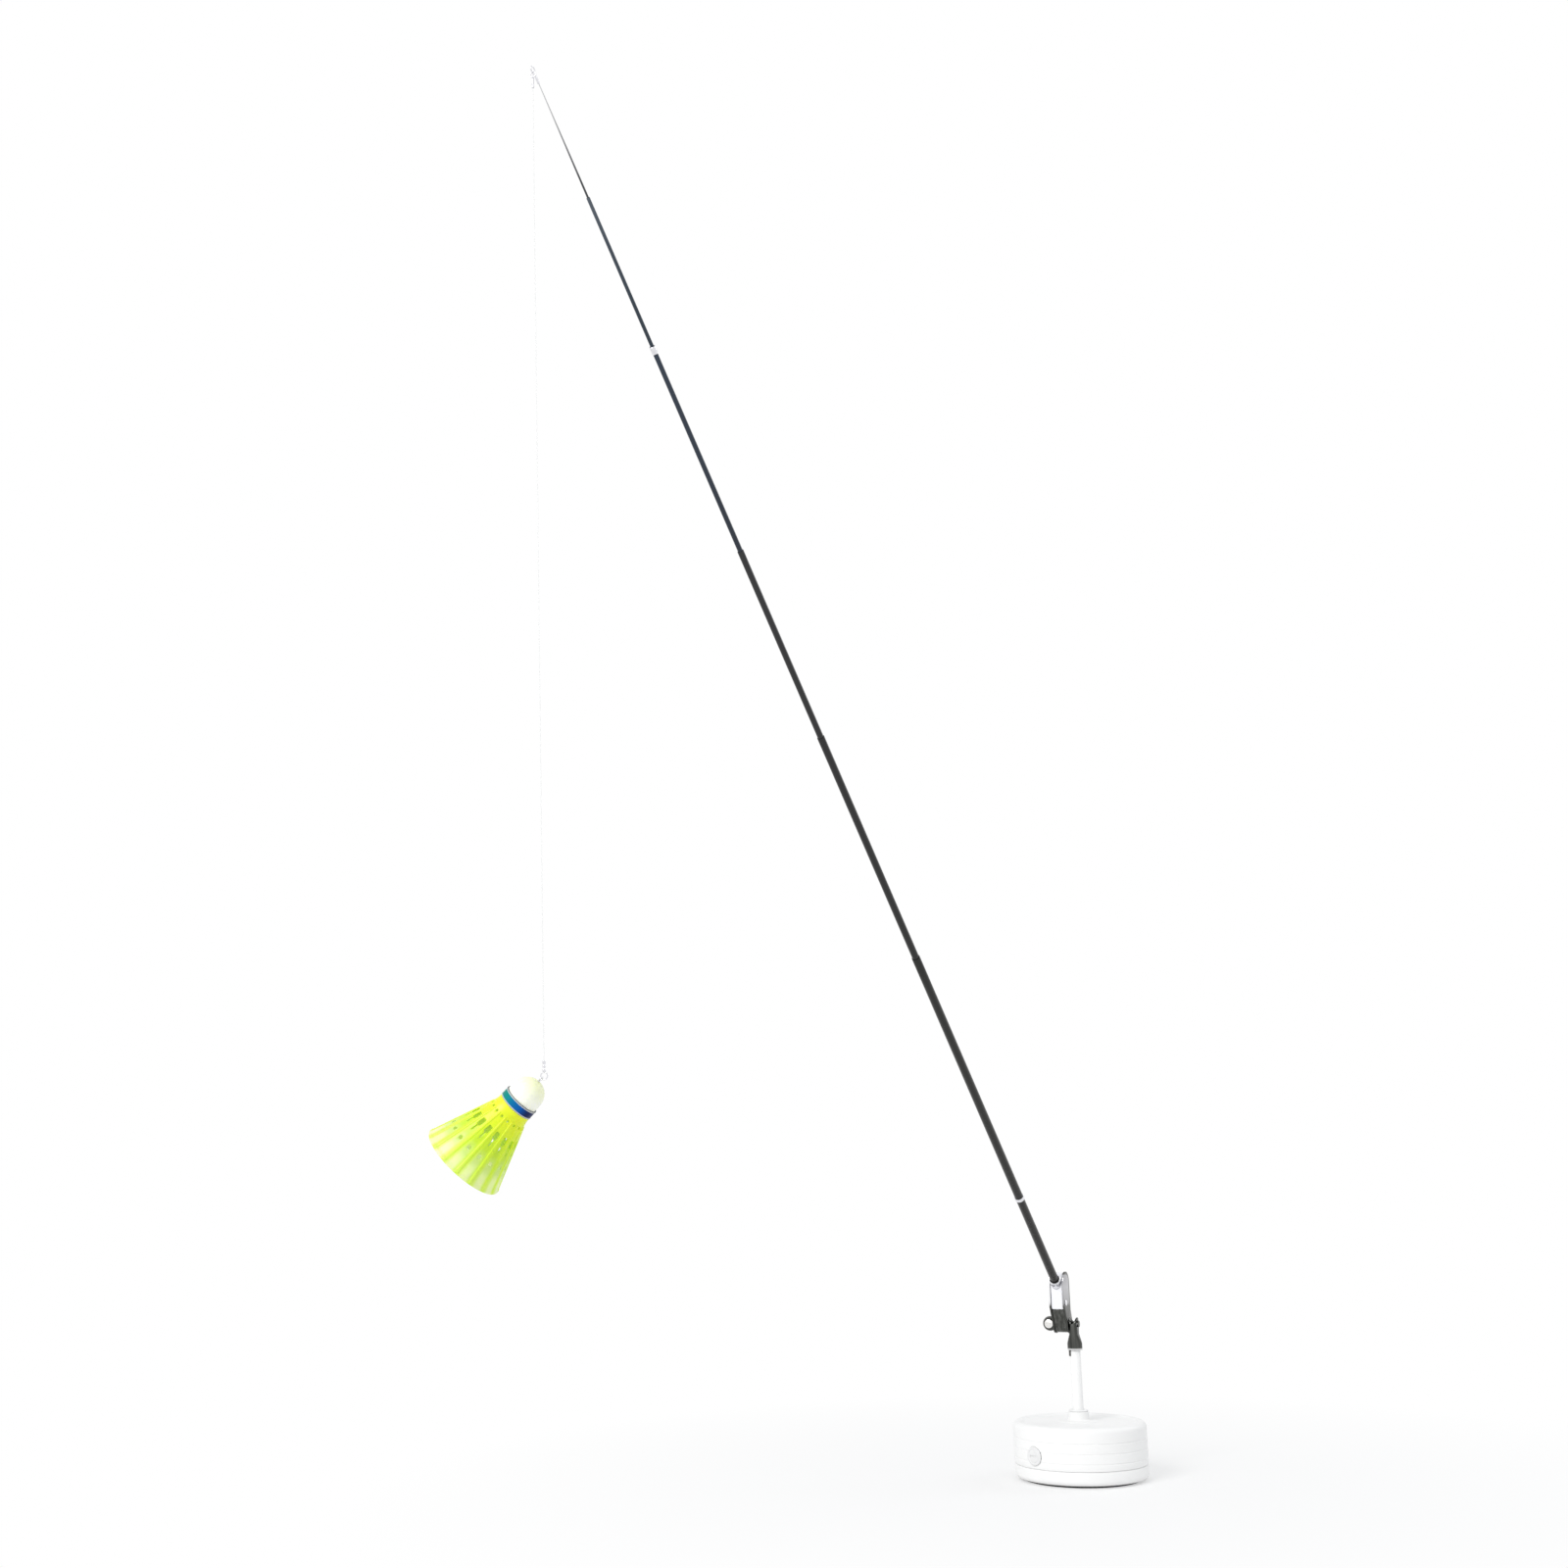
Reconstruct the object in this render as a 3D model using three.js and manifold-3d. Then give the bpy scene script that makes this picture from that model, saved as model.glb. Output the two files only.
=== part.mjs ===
// Badminton rebound trainer: a round weighted base with a short post, a bracket that tilts,
// a telescopic rod in the bracket's socket, and a shuttlecock on a line from the rod's tip.
// Millimetres, +Z up. The origin is the middle of the underside, and the rod leans towards -Y.
import * as THREE from "three";
import { mergeVertices, toCreasedNormals } from "three/addons/utils/BufferGeometryUtils.js";
import Module from "manifold-3d";

const wasm = await Module();
wasm.setup();

// Clearances and cuts
const gap = 0.3; // between two pieces that touch or run on each other
const slideGap = 0.2; // between one rod section and the bore it slides in
const overrun = 1; // how far a cut runs past the face it opens

// Facets of round forms
const baseFacets = 48;
const roundFacets = 24;
const rodFacets = 16;
const plugFacets = 20;
const smallFacets = 10;
const lineFacets = 8;
const wireFacets = 6;
const ringFacets = 16;

// Base: a tank of two halves on a rubber mat
const baseRadius = 100;
const baseHeight = 83;
const matInset = 13; // of the mat's edge inside the tank's
const matThickness = 3.5;
const seamHeight = 23;
const trayFloor = 3;
const trayWall = 5.7;
const trayLipHeight = 8;
const trayLipWall = 2.4;
const trayEdgeRadius = 7;
const seamChamfer = 1.3;
const shellWall = 3;
const shoulderRadius = 8;
const groovePlaces = [33, 47, 61];
const grooveDepth = 0.9;
const grooveHeight = 2.4;
const dishDepth = 2;
const dishInnerRadius = 27;
const dishInset = 14; // of the sunk top's edge inside the tank's side
const dishSlope = 3;
const collarRadius = 15.5;
const collarHeight = 13;
const collarFillet = 3;
const wellWall = 3;
const wellRingWall = 2.5;
const wellRingHeight = 8;
const fillHeight = 62;

// Filler opening in the side wall
const fillerAngle = THREE.MathUtils.degToRad(-117);
const fillerHeight = 41;
const fillerBossRadius = 17;
const fillerBossDepth = 12;
const fillerFaceDepth = 2.6;
const plugHeadRadius = 13.5;
const plugHeadThickness = 2.2;
const plugHeadRelief = 1.1;
const plugStemRadius = 8.7;
const plugStemLength = 9;
const coinSlotLength = 15;
const coinSlotWidth = 2.6;
const coinSlotDepth = 1.3;
const gasketThickness = 1;
const gasketRadius = 12.5;

// Post and the bush that it turns in
const postRadius = 8;
const postWall = 1.5;
const postDrop = 29.5; // of the post's top below the pivot
const spigotHeight = 12;
const bushWall = 2.2;
const bushLength = 30;
const bushFlangeRadius = 14.6;
const bushFlangeThickness = 2;

// Lower bracket: a steel tube, round over the post and pressed flatter at the pivot
const pivotHeight = 223;
const sleeveWall = 1.5;
const sleeveDrop = 38; // of the sleeve's foot below the pivot
const sleeveRoundDrop = 28.5; // of the top of its round part
const sleeveFlatDrop = 15.5; // of the foot of its flattened part
const sleeveBendSteps = 4;
const tongueHalfThickness = 5;
const tongueHalfWidth = 9.5;
const tongueSquareness = 3.4; // 2 is an ellipse, and more is squarer
const tabAngle = THREE.MathUtils.degToRad(-150);
const tabWidth = 6;
const tabLength = 9;
const screwDrop = 32.5; // of the screw below the pivot
const screwRadius = 2;
const screwHeadRadius = 4;
const screwHeadThickness = 2.6;
const screwLength = 6.5;

// Upper bracket, which stands beside the flattened tube: places are from the pivot, along Y and Z
const lean = THREE.MathUtils.degToRad(52); // of the rod, from upright
const sheet = 2.5;
const headWidth = 24;
const knuckleRadius = 14;
const cheekTop = 62; // middle of the arch
const cheekMiddle = -10;
const archRadius = 16;
const cheekFootFront = 26;
const cheekFootBack = 22;
const webBottom = 24;
const webTop = 56;
const blockTop = 22;
const blockFront = 14;
const blockBack = 4.5;
const boltRadius = 4;
const boltHeadRadius = 5.4;
const boltHeadThickness = 2.2;
const boltHeadDome = 0.8;
const washerRadius = 6.4;
const washerThickness = 1;
const knobRadius = 11;
const knobNeckRadius = 9.5;
const knobNeckLength = 0.8;
const knobBoreDepth = 9;
const knobEndRadius = 4;
const knobGripCut = 2; // ground off each of two sides, for the fingers

// Rod holder between the cheeks: its bore's axis lies behind the pivot
const socketOffset = 34;
const socketFoot = 20; // from here on, places run along the rod
const socketMouth = 64;
const socketWall = 1.1;
const socketFloor = 2;
const socketLipRadius = 9.2;
const socketLipLength = 2.4;
const holderInset = 1.2;
const holderEdge = 1.6;
const rivetRadius = 2.4;
const rivetHeadRadius = 4.4;
const rivetHeadThickness = 1.8;
const rivetFront = -19;
const rivetHeight = 32;

// Telescopic rod, drawn out: how much of its length shows of each section and of the tip, then each
// section's radius where it starts and ends, its wall and its lap in the section below
const rodLength = 1852.4;
const shownShares = [0.3954, 0.1949, 0.1376, 0.129, 0.0821, 0.061];
const rodSections = [
  { startRadius: 6.5, endRadius: 5.5, wall: 0.6, lap: 0 },
  { startRadius: 4.7, endRadius: 4.45, wall: 0.5, lap: 50 },
  { startRadius: 3.75, endRadius: 3.55, wall: 0.45, lap: 45 },
  { startRadius: 2.9, endRadius: 2.55, wall: 0.35, lap: 40 },
  { startRadius: 2, endRadius: 1.75, wall: 0.3, lap: 35 },
];
const tipSection = { startRadius: 1.2, endRadius: 0.45, lap: 30 };
const buttCapThickness = 3;
const buttPlugLength = 12;
const bandPlace = 262;
const bandLength = 6;
const bandThickness = 0.8;
const jointRingLength = 8;
const jointRingThickness = 0.6;
const tipSleeveRadius = 1.3;
const tipSleeveLength = 9;
const tipSleeveStart = 7; // how far the sleeve reaches down over the rod's tip

// Rings and line
const ringRadius = 3.2;
const ringWire = 0.6;
const linkRadius = 2.8;
const linkWire = 0.5;
const eyeRadius = 1.8;
const eyeWire = 0.45;
const crimpRadius = 1.3;
const crimpLength = 9;
const lineRadius = 0.3;
const lineLength = 876;
const lineSteps = 20;

// Shuttlecock: places run from the cork's top towards the rim
const shuttleTilt = THREE.MathUtils.degToRad(46); // of its axis, from plumb
const shuttleTurn = THREE.MathUtils.degToRad(11); // of its hanging plane, about the vertical
const shuttleBalance = 38; // from the cork's top to the point where the shuttlecock balances
const shuttleLength = 85;
const corkRadius = 13.4;
const corkDome = 13;
const corkShoulder = 20;
const corkSpigotRadius = 11;
const corkSpigotEnd = 30;
const corkStand = 0.5;
const eyeStemRadius = 0.8;
const eyeStemLength = 10;
const bandRadius = 14.6;
const bandStart = 18.5;
const bandEnd = 26;
const skirtWall = 1.1;
const skirtCollarWall = 2.1;
const skirtCollarEnd = 30;
const skirtNeckRadius = 14.4;
const skirtNeck = 33;
const skirtRimRadius = 34;
const rimBead = 0.5;
const rimBeadWidth = 2.5;
const ribCount = 16;
const skirtFacets = 32;
// Rows of openings between the ribs: middle, length, and width at the neck's and the rim's side
const skirtRows = [
  { middle: 37.5, length: 3.6, neckWidth: 2.2, rimWidth: 2.4 },
  { middle: 47.5, length: 9, neckWidth: 3.8, rimWidth: 4.6 },
  { middle: 59.5, length: 9, neckWidth: 3.4, rimWidth: 4 },
  { middle: 69.5, length: 6, neckWidth: 3.8, rimWidth: 4.2 },
];

// Sizes that follow from those above
const matRadius = baseRadius - matInset;
const dishOuterRadius = baseRadius - dishInset;
const postTop = pivotHeight - postDrop;
const sleeveBottom = pivotHeight - sleeveDrop;
const sleeveBendStart = pivotHeight - sleeveRoundDrop;
const sleeveBendEnd = pivotHeight - sleeveFlatDrop;
const screwHeight = pivotHeight - screwDrop;
const bushRadius = postRadius + gap + bushWall;
const wellRadius = bushRadius + gap;
const floorTop = matThickness + trayFloor;
const collarTop = baseHeight + collarHeight;
const sleeveBore = postRadius + gap;
const sleeveRadius = sleeveBore + sleeveWall;
const headHalf = headWidth / 2;
const headPlace = -(tongueHalfThickness + gap + headHalf); // of the upper bracket's middle, along X
const rodBore = rodSections[0].startRadius + gap;
const socketRadius = rodBore + socketWall;
const rodFoot = socketFoot + socketFloor + gap;
const rodStart = rodFoot + buttCapThickness + gap;
const sectionTip = (index) =>
  shownShares.slice(0, index + 1).reduce((sum, share) => sum + share * rodLength, rodStart);
const rodTip = sectionTip(rodSections.length);
const fillerBore = plugStemRadius + gap;
const fillerFace = baseRadius - fillerFaceDepth;
const linkDrop = ringRadius - (ringWire + linkWire + gap) + linkRadius;
const eyeDrop = linkRadius - (linkWire + eyeWire + gap) + eyeRadius;
const crimpDrop = eyeDrop + eyeRadius;
const hangLength = crimpDrop + crimpLength + gap + lineLength + gap + crimpLength + linkRadius;
const corkDrop = eyeDrop + eyeRadius + eyeWire + corkStand;
// The line leans a little, so that the tilted shuttlecock balances plumb below the rod's tip
const lineLean = Math.asin(((corkDrop + shuttleBalance) * Math.sin(shuttleTilt)) / hangLength);

// Materials
const finish = (color, roughness, metalness) =>
  new THREE.MeshStandardMaterial({ color, roughness, metalness });
const whitePlastic = finish(0xf6f5f3, 0.45, 0);
const greyPlastic = finish(0xb9b9b7, 0.5, 0);
const whitePaint = finish(0xf8f8f6, 0.35, 0.1);
const darkSteel = finish(0x4a4c48, 0.25, 1);
const polishedSteel = finish(0xe4e4ea, 0.12, 1);
const blackRubber = finish(0x222222, 0.85, 0);
const charcoalRod = finish(0x3a3a38, 0.35, 0.1);
const slateRod = finish(0x34404e, 0.35, 0.1);
const blueGreyRod = finish(0x6f7f90, 0.35, 0.1);
const paleRod = finish(0xd4d4d4, 0.4, 0.1);
const waterFill = finish(0xcfe0e6, 0.2, 0);
const clearLine = finish(0xf2f2f2, 0.3, 0);
const corkWhite = finish(0xf7f8e6, 0.6, 0);
const bandBlue = finish(0x0a6aa0, 0.35, 0.1);
const neonNylon = finish(0xe8fa3c, 0.45, 0);

// A three.js geometry as a solid that can be cut and joined.
function solidOf(geometry) {
  const bare = geometry.index ? geometry.toNonIndexed() : geometry.clone();
  bare.deleteAttribute("normal");
  bare.deleteAttribute("uv");
  const merged = mergeVertices(bare);
  const index = merged.index.array;
  const kept = [];
  for (let i = 0; i < index.length; i += 3) {
    const corners = [index[i], index[i + 1], index[i + 2]];
    if (new Set(corners).size === corners.length) kept.push(...corners);
  }
  return new wasm.Manifold(
    new wasm.Mesh({
      numProp: 3,
      vertProperties: merged.attributes.position.array,
      triVerts: new Uint32Array(kept),
    }),
  );
}

// A solid as a three.js geometry, smooth over shallow edges.
function geometryOf(solid) {
  const cut = solid.getMesh();
  const geometry = new THREE.BufferGeometry();
  geometry.setAttribute("position", new THREE.BufferAttribute(new Float32Array(cut.vertProperties), 3));
  geometry.setIndex(new THREE.BufferAttribute(new Uint32Array(cut.triVerts), 1));
  return toCreasedNormals(geometry, THREE.MathUtils.degToRad(30));
}

function place(parent, name, solid, material) {
  const mesh = new THREE.Mesh(geometryOf(solid), material);
  mesh.name = name;
  parent.add(mesh);
  return mesh;
}

// Turns a profile of [radius, height] points about Z. It closes on itself, or ends on the axis.
function revolve(profile, facets = roundFacets) {
  const points = profile.map(([r, z]) => new THREE.Vector2(r, z));
  const onAxis = profile[0][0] === 0 && profile[profile.length - 1][0] === 0;
  if (!onAxis) points.push(points[0].clone());
  const area = THREE.ShapeUtils.area(points);
  if (area < 0) points.reverse();
  return solidOf(new THREE.LatheGeometry(points, facets).rotateX(Math.PI / 2));
}

// A ring or tube between two radii and two heights.
const tube = (inner, outer, low, high, facets) =>
  revolve([[inner, low], [outer, low], [outer, high], [inner, high]], facets);

// A round bar on the axis between two heights.
const bar = (radius, low, high, facets) =>
  revolve([[0, low], [radius, low], [radius, high], [0, high]], facets);

// A ring of round wire about the given axis, "x", "y" or "z".
function wireRing(radius, wire, axis) {
  const ring = new THREE.TorusGeometry(radius, wire, wireFacets, ringFacets);
  if (axis === "x") ring.rotateY(Math.PI / 2);
  if (axis === "y") ring.rotateX(Math.PI / 2);
  return solidOf(ring);
}

// Extrudes a shape by a depth that is centred on the shape's own plane.
const slab = (shape, depth) =>
  new THREE.ExtrudeGeometry(shape, { depth, bevelEnabled: false, curveSegments: smallFacets }).translate(
    0,
    0,
    -depth / 2,
  );

// Points of a quarter arc, from along `from` radians, with the arc's own number of steps.
function arc(centreR, centreZ, radiusR, radiusZ, from, to, steps = 4) {
  const points = [];
  for (let i = 0; i <= steps; i += 1) {
    const angle = from + ((to - from) * i) / steps;
    points.push([centreR + radiusR * Math.cos(angle), centreZ + radiusZ * Math.sin(angle)]);
  }
  return points;
}

// Moves a solid that was made on the Z axis so that the axis points outward at the filler.
function towardsFiller(solid) {
  const quarter = THREE.MathUtils.radToDeg(Math.PI / 2);
  return solid
    .rotate([0, quarter, 0])
    .rotate([0, 0, THREE.MathUtils.radToDeg(fillerAngle)])
    .translate([0, 0, fillerHeight]);
}

// The room that the filler's boss takes up inside the tank.
const fillerRoom = () =>
  towardsFiller(bar(fillerBossRadius + gap, baseRadius - shellWall - fillerBossDepth - gap, baseRadius));

// Base
function makeMat() {
  return tube(0, matRadius, 0, matThickness - gap, baseFacets);
}

function makeTray() {
  const lipRadius = baseRadius - shellWall - gap;
  const lipInside = lipRadius - trayLipWall;
  const body = revolve(
    [
      [0, matThickness],
      ...arc(
        baseRadius - trayEdgeRadius,
        matThickness + trayEdgeRadius,
        trayEdgeRadius,
        trayEdgeRadius,
        -Math.PI / 2,
        0,
      ),
      [baseRadius, seamHeight - seamChamfer],
      [baseRadius - seamChamfer, seamHeight],
      [lipRadius, seamHeight],
      [lipRadius, seamHeight + trayLipHeight],
      [lipInside, seamHeight + trayLipHeight],
      [baseRadius - trayWall, seamHeight],
      [baseRadius - trayWall, floorTop],
      [0, floorTop],
    ],
    baseFacets,
  );
  const ringInside = wellRadius + wellWall + gap;
  const ring = tube(
    ringInside,
    ringInside + wellRingWall,
    floorTop - overrun,
    floorTop + wellRingHeight,
  );
  const spigot = bar(postRadius - postWall - gap, floorTop - overrun, floorTop + spigotHeight);
  return body.subtract(fillerRoom()).add(ring).add(spigot);
}

function makeShell() {
  const low = seamHeight + gap;
  const inside = baseRadius - shellWall;
  const roof = baseHeight - shellWall - dishDepth;
  const grooves = groovePlaces.flatMap((middle) => [
    [baseRadius, middle - grooveHeight / 2],
    [baseRadius - grooveDepth, middle],
    [baseRadius, middle + grooveHeight / 2],
  ]);
  const shell = revolve(
    [
      [inside, low],
      [baseRadius - seamChamfer, low],
      [baseRadius, low + seamChamfer],
      ...grooves,
      ...arc(
        baseRadius - shoulderRadius,
        baseHeight - shoulderRadius,
        shoulderRadius,
        shoulderRadius,
        0,
        Math.PI / 2,
      ),
      [dishOuterRadius, baseHeight],
      [dishOuterRadius - dishSlope, baseHeight - dishDepth],
      [dishInnerRadius + dishSlope, baseHeight - dishDepth],
      [dishInnerRadius, baseHeight],
      [collarRadius + collarFillet, baseHeight],
      [collarRadius, baseHeight + collarFillet],
      [collarRadius, collarTop],
      [wellRadius, collarTop],
      [wellRadius, floorTop + gap],
      [wellRadius + wellWall, floorTop + gap],
      [wellRadius + wellWall, roof],
      [inside - shoulderRadius, roof],
      [inside, roof - shoulderRadius],
    ],
    baseFacets,
  );
  const boss = towardsFiller(bar(fillerBossRadius, inside - fillerBossDepth, fillerFace));
  const seat = towardsFiller(bar(plugHeadRadius + plugHeadRelief, fillerFace, baseRadius + overrun));
  const bore = towardsFiller(bar(fillerBore, inside - fillerBossDepth - overrun, baseRadius));
  return shell.add(boss).subtract(seat).subtract(bore);
}

function makeFill() {
  const inside = wellRadius + wellWall + gap + wellRingWall + gap;
  const fill = tube(
    inside,
    baseRadius - trayWall - gap,
    floorTop + gap,
    fillHeight,
    baseFacets,
  );
  return fill.subtract(fillerRoom());
}

// Filler plug and gasket
function makePlug() {
  const head = fillerFace + gap + gasketThickness + gap;
  const headTop = head + plugHeadThickness;
  const body = revolve(
    [
      [0, head - plugStemLength],
      [plugStemRadius, head - plugStemLength],
      [plugStemRadius, head],
      [plugHeadRadius, head],
      [plugHeadRadius, headTop - plugHeadRelief],
      [plugHeadRadius - plugHeadRelief, headTop],
      [0, headTop],
    ],
    plugFacets,
  );
  const slot = solidOf(
    new THREE.BoxGeometry(coinSlotWidth, coinSlotLength, 2 * coinSlotDepth).translate(0, 0, headTop),
  );
  return towardsFiller(body.subtract(slot));
}

function makeGasket() {
  const low = fillerFace + gap;
  return towardsFiller(tube(plugStemRadius + gap, gasketRadius, low, low + gasketThickness));
}

// Post and bush
function makeBush() {
  const flange = collarTop + gap;
  return revolve([
    [postRadius + gap, flange + bushFlangeThickness - bushLength],
    [bushRadius, flange + bushFlangeThickness - bushLength],
    [bushRadius, flange],
    [bushFlangeRadius, flange],
    [bushFlangeRadius, flange + bushFlangeThickness],
    [postRadius + gap, flange + bushFlangeThickness],
  ]);
}

// The screw's shape along Z with its head's underside at zero, turned to enter from behind.
function screwFromBehind(radius) {
  const quarter = THREE.MathUtils.radToDeg(Math.PI / 2);
  return bar(radius, -screwLength, overrun, smallFacets)
    .rotate([-quarter, 0, 0])
    .translate([0, sleeveRadius + gap, screwHeight]);
}

function makePost() {
  const body = tube(postRadius - postWall, postRadius, floorTop + gap, postTop);
  return body.subtract(screwFromBehind(screwRadius + gap));
}

function makeSleeveScrew() {
  const quarter = THREE.MathUtils.radToDeg(Math.PI / 2);
  return revolve(
    [
      [0, -screwLength],
      [screwRadius, -screwLength],
      [screwRadius, 0],
      [screwHeadRadius, 0],
      [screwHeadRadius, screwHeadThickness / 2],
      [screwHeadRadius / 2, screwHeadThickness],
      [0, screwHeadThickness],
    ],
    smallFacets,
  )
    .rotate([-quarter, 0, 0])
    .translate([0, sleeveRadius + gap, screwHeight]);
}

// Lower bracket: a loft from a circle to a squarer oval, hollow all the way
function loft(rings) {
  const positions = [];
  const facets = roundFacets;
  const corner = ({ halfX, halfY, power, z }, step) => {
    const angle = (2 * Math.PI * step) / facets;
    const c = Math.cos(angle);
    const s = Math.sin(angle);
    const reach = (Math.abs(c / halfX) ** power + Math.abs(s / halfY) ** power) ** (-1 / power);
    return [reach * c, reach * s, z];
  };
  for (let ring = 0; ring < rings.length - 1; ring += 1) {
    for (let step = 0; step < facets; step += 1) {
      const a = corner(rings[ring], step);
      const b = corner(rings[ring], (step + 1) % facets);
      const c = corner(rings[ring + 1], (step + 1) % facets);
      const d = corner(rings[ring + 1], step);
      positions.push(...a, ...b, ...c, ...a, ...c, ...d);
    }
  }
  const ends = [
    [rings[0], 1],
    [rings[rings.length - 1], 0],
  ];
  for (const [ring, flip] of ends) {
    const centre = [0, 0, ring.z];
    for (let step = 0; step < facets; step += 1) {
      const a = corner(ring, (step + flip) % facets);
      const b = corner(ring, (step + 1 - flip) % facets);
      positions.push(...centre, ...a, ...b);
    }
  }
  const geometry = new THREE.BufferGeometry();
  geometry.setAttribute("position", new THREE.Float32BufferAttribute(positions, 3));
  return solidOf(geometry);
}

function sleeveForm(inset, extra) {
  const top = pivotHeight + tongueHalfWidth + extra;
  const round = { halfX: sleeveRadius - inset, halfY: sleeveRadius - inset, power: 2 };
  const flat = {
    halfX: tongueHalfThickness - inset,
    halfY: tongueHalfWidth - inset,
    power: tongueSquareness,
  };
  const bend = [];
  for (let step = 0; step <= sleeveBendSteps; step += 1) {
    const share = step / sleeveBendSteps;
    const eased = THREE.MathUtils.smoothstep(share, 0, 1);
    bend.push({
      halfX: THREE.MathUtils.lerp(round.halfX, flat.halfX, eased),
      halfY: THREE.MathUtils.lerp(round.halfY, flat.halfY, eased),
      power: THREE.MathUtils.lerp(round.power, flat.power, eased),
      z: THREE.MathUtils.lerp(sleeveBendStart, sleeveBendEnd, share),
    });
  }
  return loft([{ ...round, z: sleeveBottom - extra }, ...bend, { ...flat, z: top }]);
}

function makeSleeve() {
  const half = sleeveRadius + tongueHalfWidth;
  const outline = new THREE.Shape();
  outline.moveTo(-half, sleeveBottom - overrun);
  outline.lineTo(half, sleeveBottom - overrun);
  outline.lineTo(half, sleeveBendEnd);
  outline.lineTo(tongueHalfWidth, pivotHeight);
  outline.absarc(0, pivotHeight, tongueHalfWidth, 0, Math.PI, false);
  outline.lineTo(-half, sleeveBendEnd);
  const rounded = solidOf(
    slab(outline, 2 * half)
      .rotateX(Math.PI / 2)
      .rotateZ(Math.PI / 2),
  );
  const tabRoom = solidOf(
    new THREE.BoxGeometry(2 * sleeveRadius, tabWidth, 2 * tabLength)
      .translate(sleeveRadius, 0, sleeveBottom)
      .rotateZ(tabAngle),
  );
  const tab = tube(sleeveBore, sleeveRadius, sleeveBottom - tabLength, sleeveBottom + tabLength).intersect(
    tabRoom,
  );
  const boltHole = acrossPivot(bar(boltRadius + gap, -half, half), pivotHeight);
  return sleeveForm(0, 0)
    .intersect(rounded)
    .subtract(sleeveForm(sleeveWall, overrun))
    .add(tab)
    .subtract(boltHole)
    .subtract(screwFromBehind(screwRadius + gap));
}

// Turns a solid made on the Z axis onto the pivot's X axis, its upper end towards +X.
function acrossPivot(solid, height = 0) {
  const quarter = THREE.MathUtils.radToDeg(Math.PI / 2);
  return solid.rotate([0, quarter, 0]).translate([0, 0, height]);
}

// Upper bracket, in its own frame: the pivot at the origin and the frame's middle at x = 0
function cheekOutline(inset) {
  const half = archRadius - inset;
  const outline = new THREE.Shape();
  outline.moveTo(cheekMiddle + half, cheekTop);
  outline.absarc(cheekMiddle, cheekTop, half, 0, Math.PI, false);
  outline.lineTo(cheekMiddle - half, cheekFootFront);
  outline.lineTo(-knuckleRadius + inset, 0);
  outline.absarc(0, 0, knuckleRadius - inset, Math.PI, 2 * Math.PI, false);
  outline.lineTo(cheekMiddle + half, cheekFootBack);
  return outline;
}

// Turns a shape drawn in Y and Z into a slab across X.
const acrossX = (shape, width) => solidOf(slab(shape, width).rotateX(Math.PI / 2).rotateZ(Math.PI / 2));

const boxOf = (low, high) => {
  const size = new THREE.Vector3().subVectors(high, low);
  const centre = new THREE.Vector3().addVectors(low, high).divideScalar(2);
  return solidOf(new THREE.BoxGeometry(size.x, size.y, size.z).translate(centre.x, centre.y, centre.z));
};

const pivotHole = () => acrossPivot(bar(boltRadius + gap, -headWidth, headWidth));

const rivetHole = () =>
  acrossPivot(bar(rivetRadius + gap, -headWidth, headWidth, smallFacets)).translate([
    0,
    rivetFront,
    rivetHeight,
  ]);

// Moves a solid made on the rod's axis into the upper bracket's frame.
const alongRod = (solid) =>
  solid.translate([0, socketOffset, 0]).rotate([THREE.MathUtils.radToDeg(lean), 0, 0]);

function makeYoke() {
  const inside = headHalf - sheet;
  const reach = 2 * (cheekTop + archRadius);
  const back = cheekMiddle + archRadius - sheet;
  const room = boxOf(new THREE.Vector3(-inside, -reach, -reach), new THREE.Vector3(inside, reach, reach));
  const web = boxOf(
    new THREE.Vector3(-headHalf, back, webBottom),
    new THREE.Vector3(headHalf, back + sheet, webTop),
  );
  const ferruleHole = alongRod(bar(socketRadius + gap, socketFoot - overrun, socketMouth));
  return acrossX(cheekOutline(0), headWidth)
    .subtract(room)
    .add(web)
    .subtract(ferruleHole)
    .subtract(pivotHole())
    .subtract(rivetHole());
}

function makeBlock() {
  const half = headHalf - sheet - gap;
  const outline = cheekOutline(holderInset);
  const keep = boxOf(
    new THREE.Vector3(-half, -knuckleRadius - blockFront, -knuckleRadius),
    new THREE.Vector3(half, knuckleRadius + blockBack, blockTop),
  );
  return acrossX(outline, 2 * half).intersect(keep).subtract(pivotHole());
}

function makeHolder() {
  const half = headHalf - sheet - gap;
  const full = acrossX(cheekOutline(holderInset), 2 * half - 2 * holderEdge);
  const core = acrossX(cheekOutline(holderInset + holderEdge), 2 * half);
  const low = new THREE.Vector3(-half, cheekMiddle - archRadius, blockTop + gap);
  const high = new THREE.Vector3(half, cheekMiddle + archRadius - sheet - gap, cheekTop + archRadius);
  const bore = alongRod(bar(socketRadius + gap, socketFoot - gap, socketMouth + archRadius));
  const lip = alongRod(bar(socketLipRadius + gap, socketMouth - gap, socketMouth + archRadius));
  return full.add(core).intersect(boxOf(low, high)).subtract(bore).subtract(lip).subtract(rivetHole());
}

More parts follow.
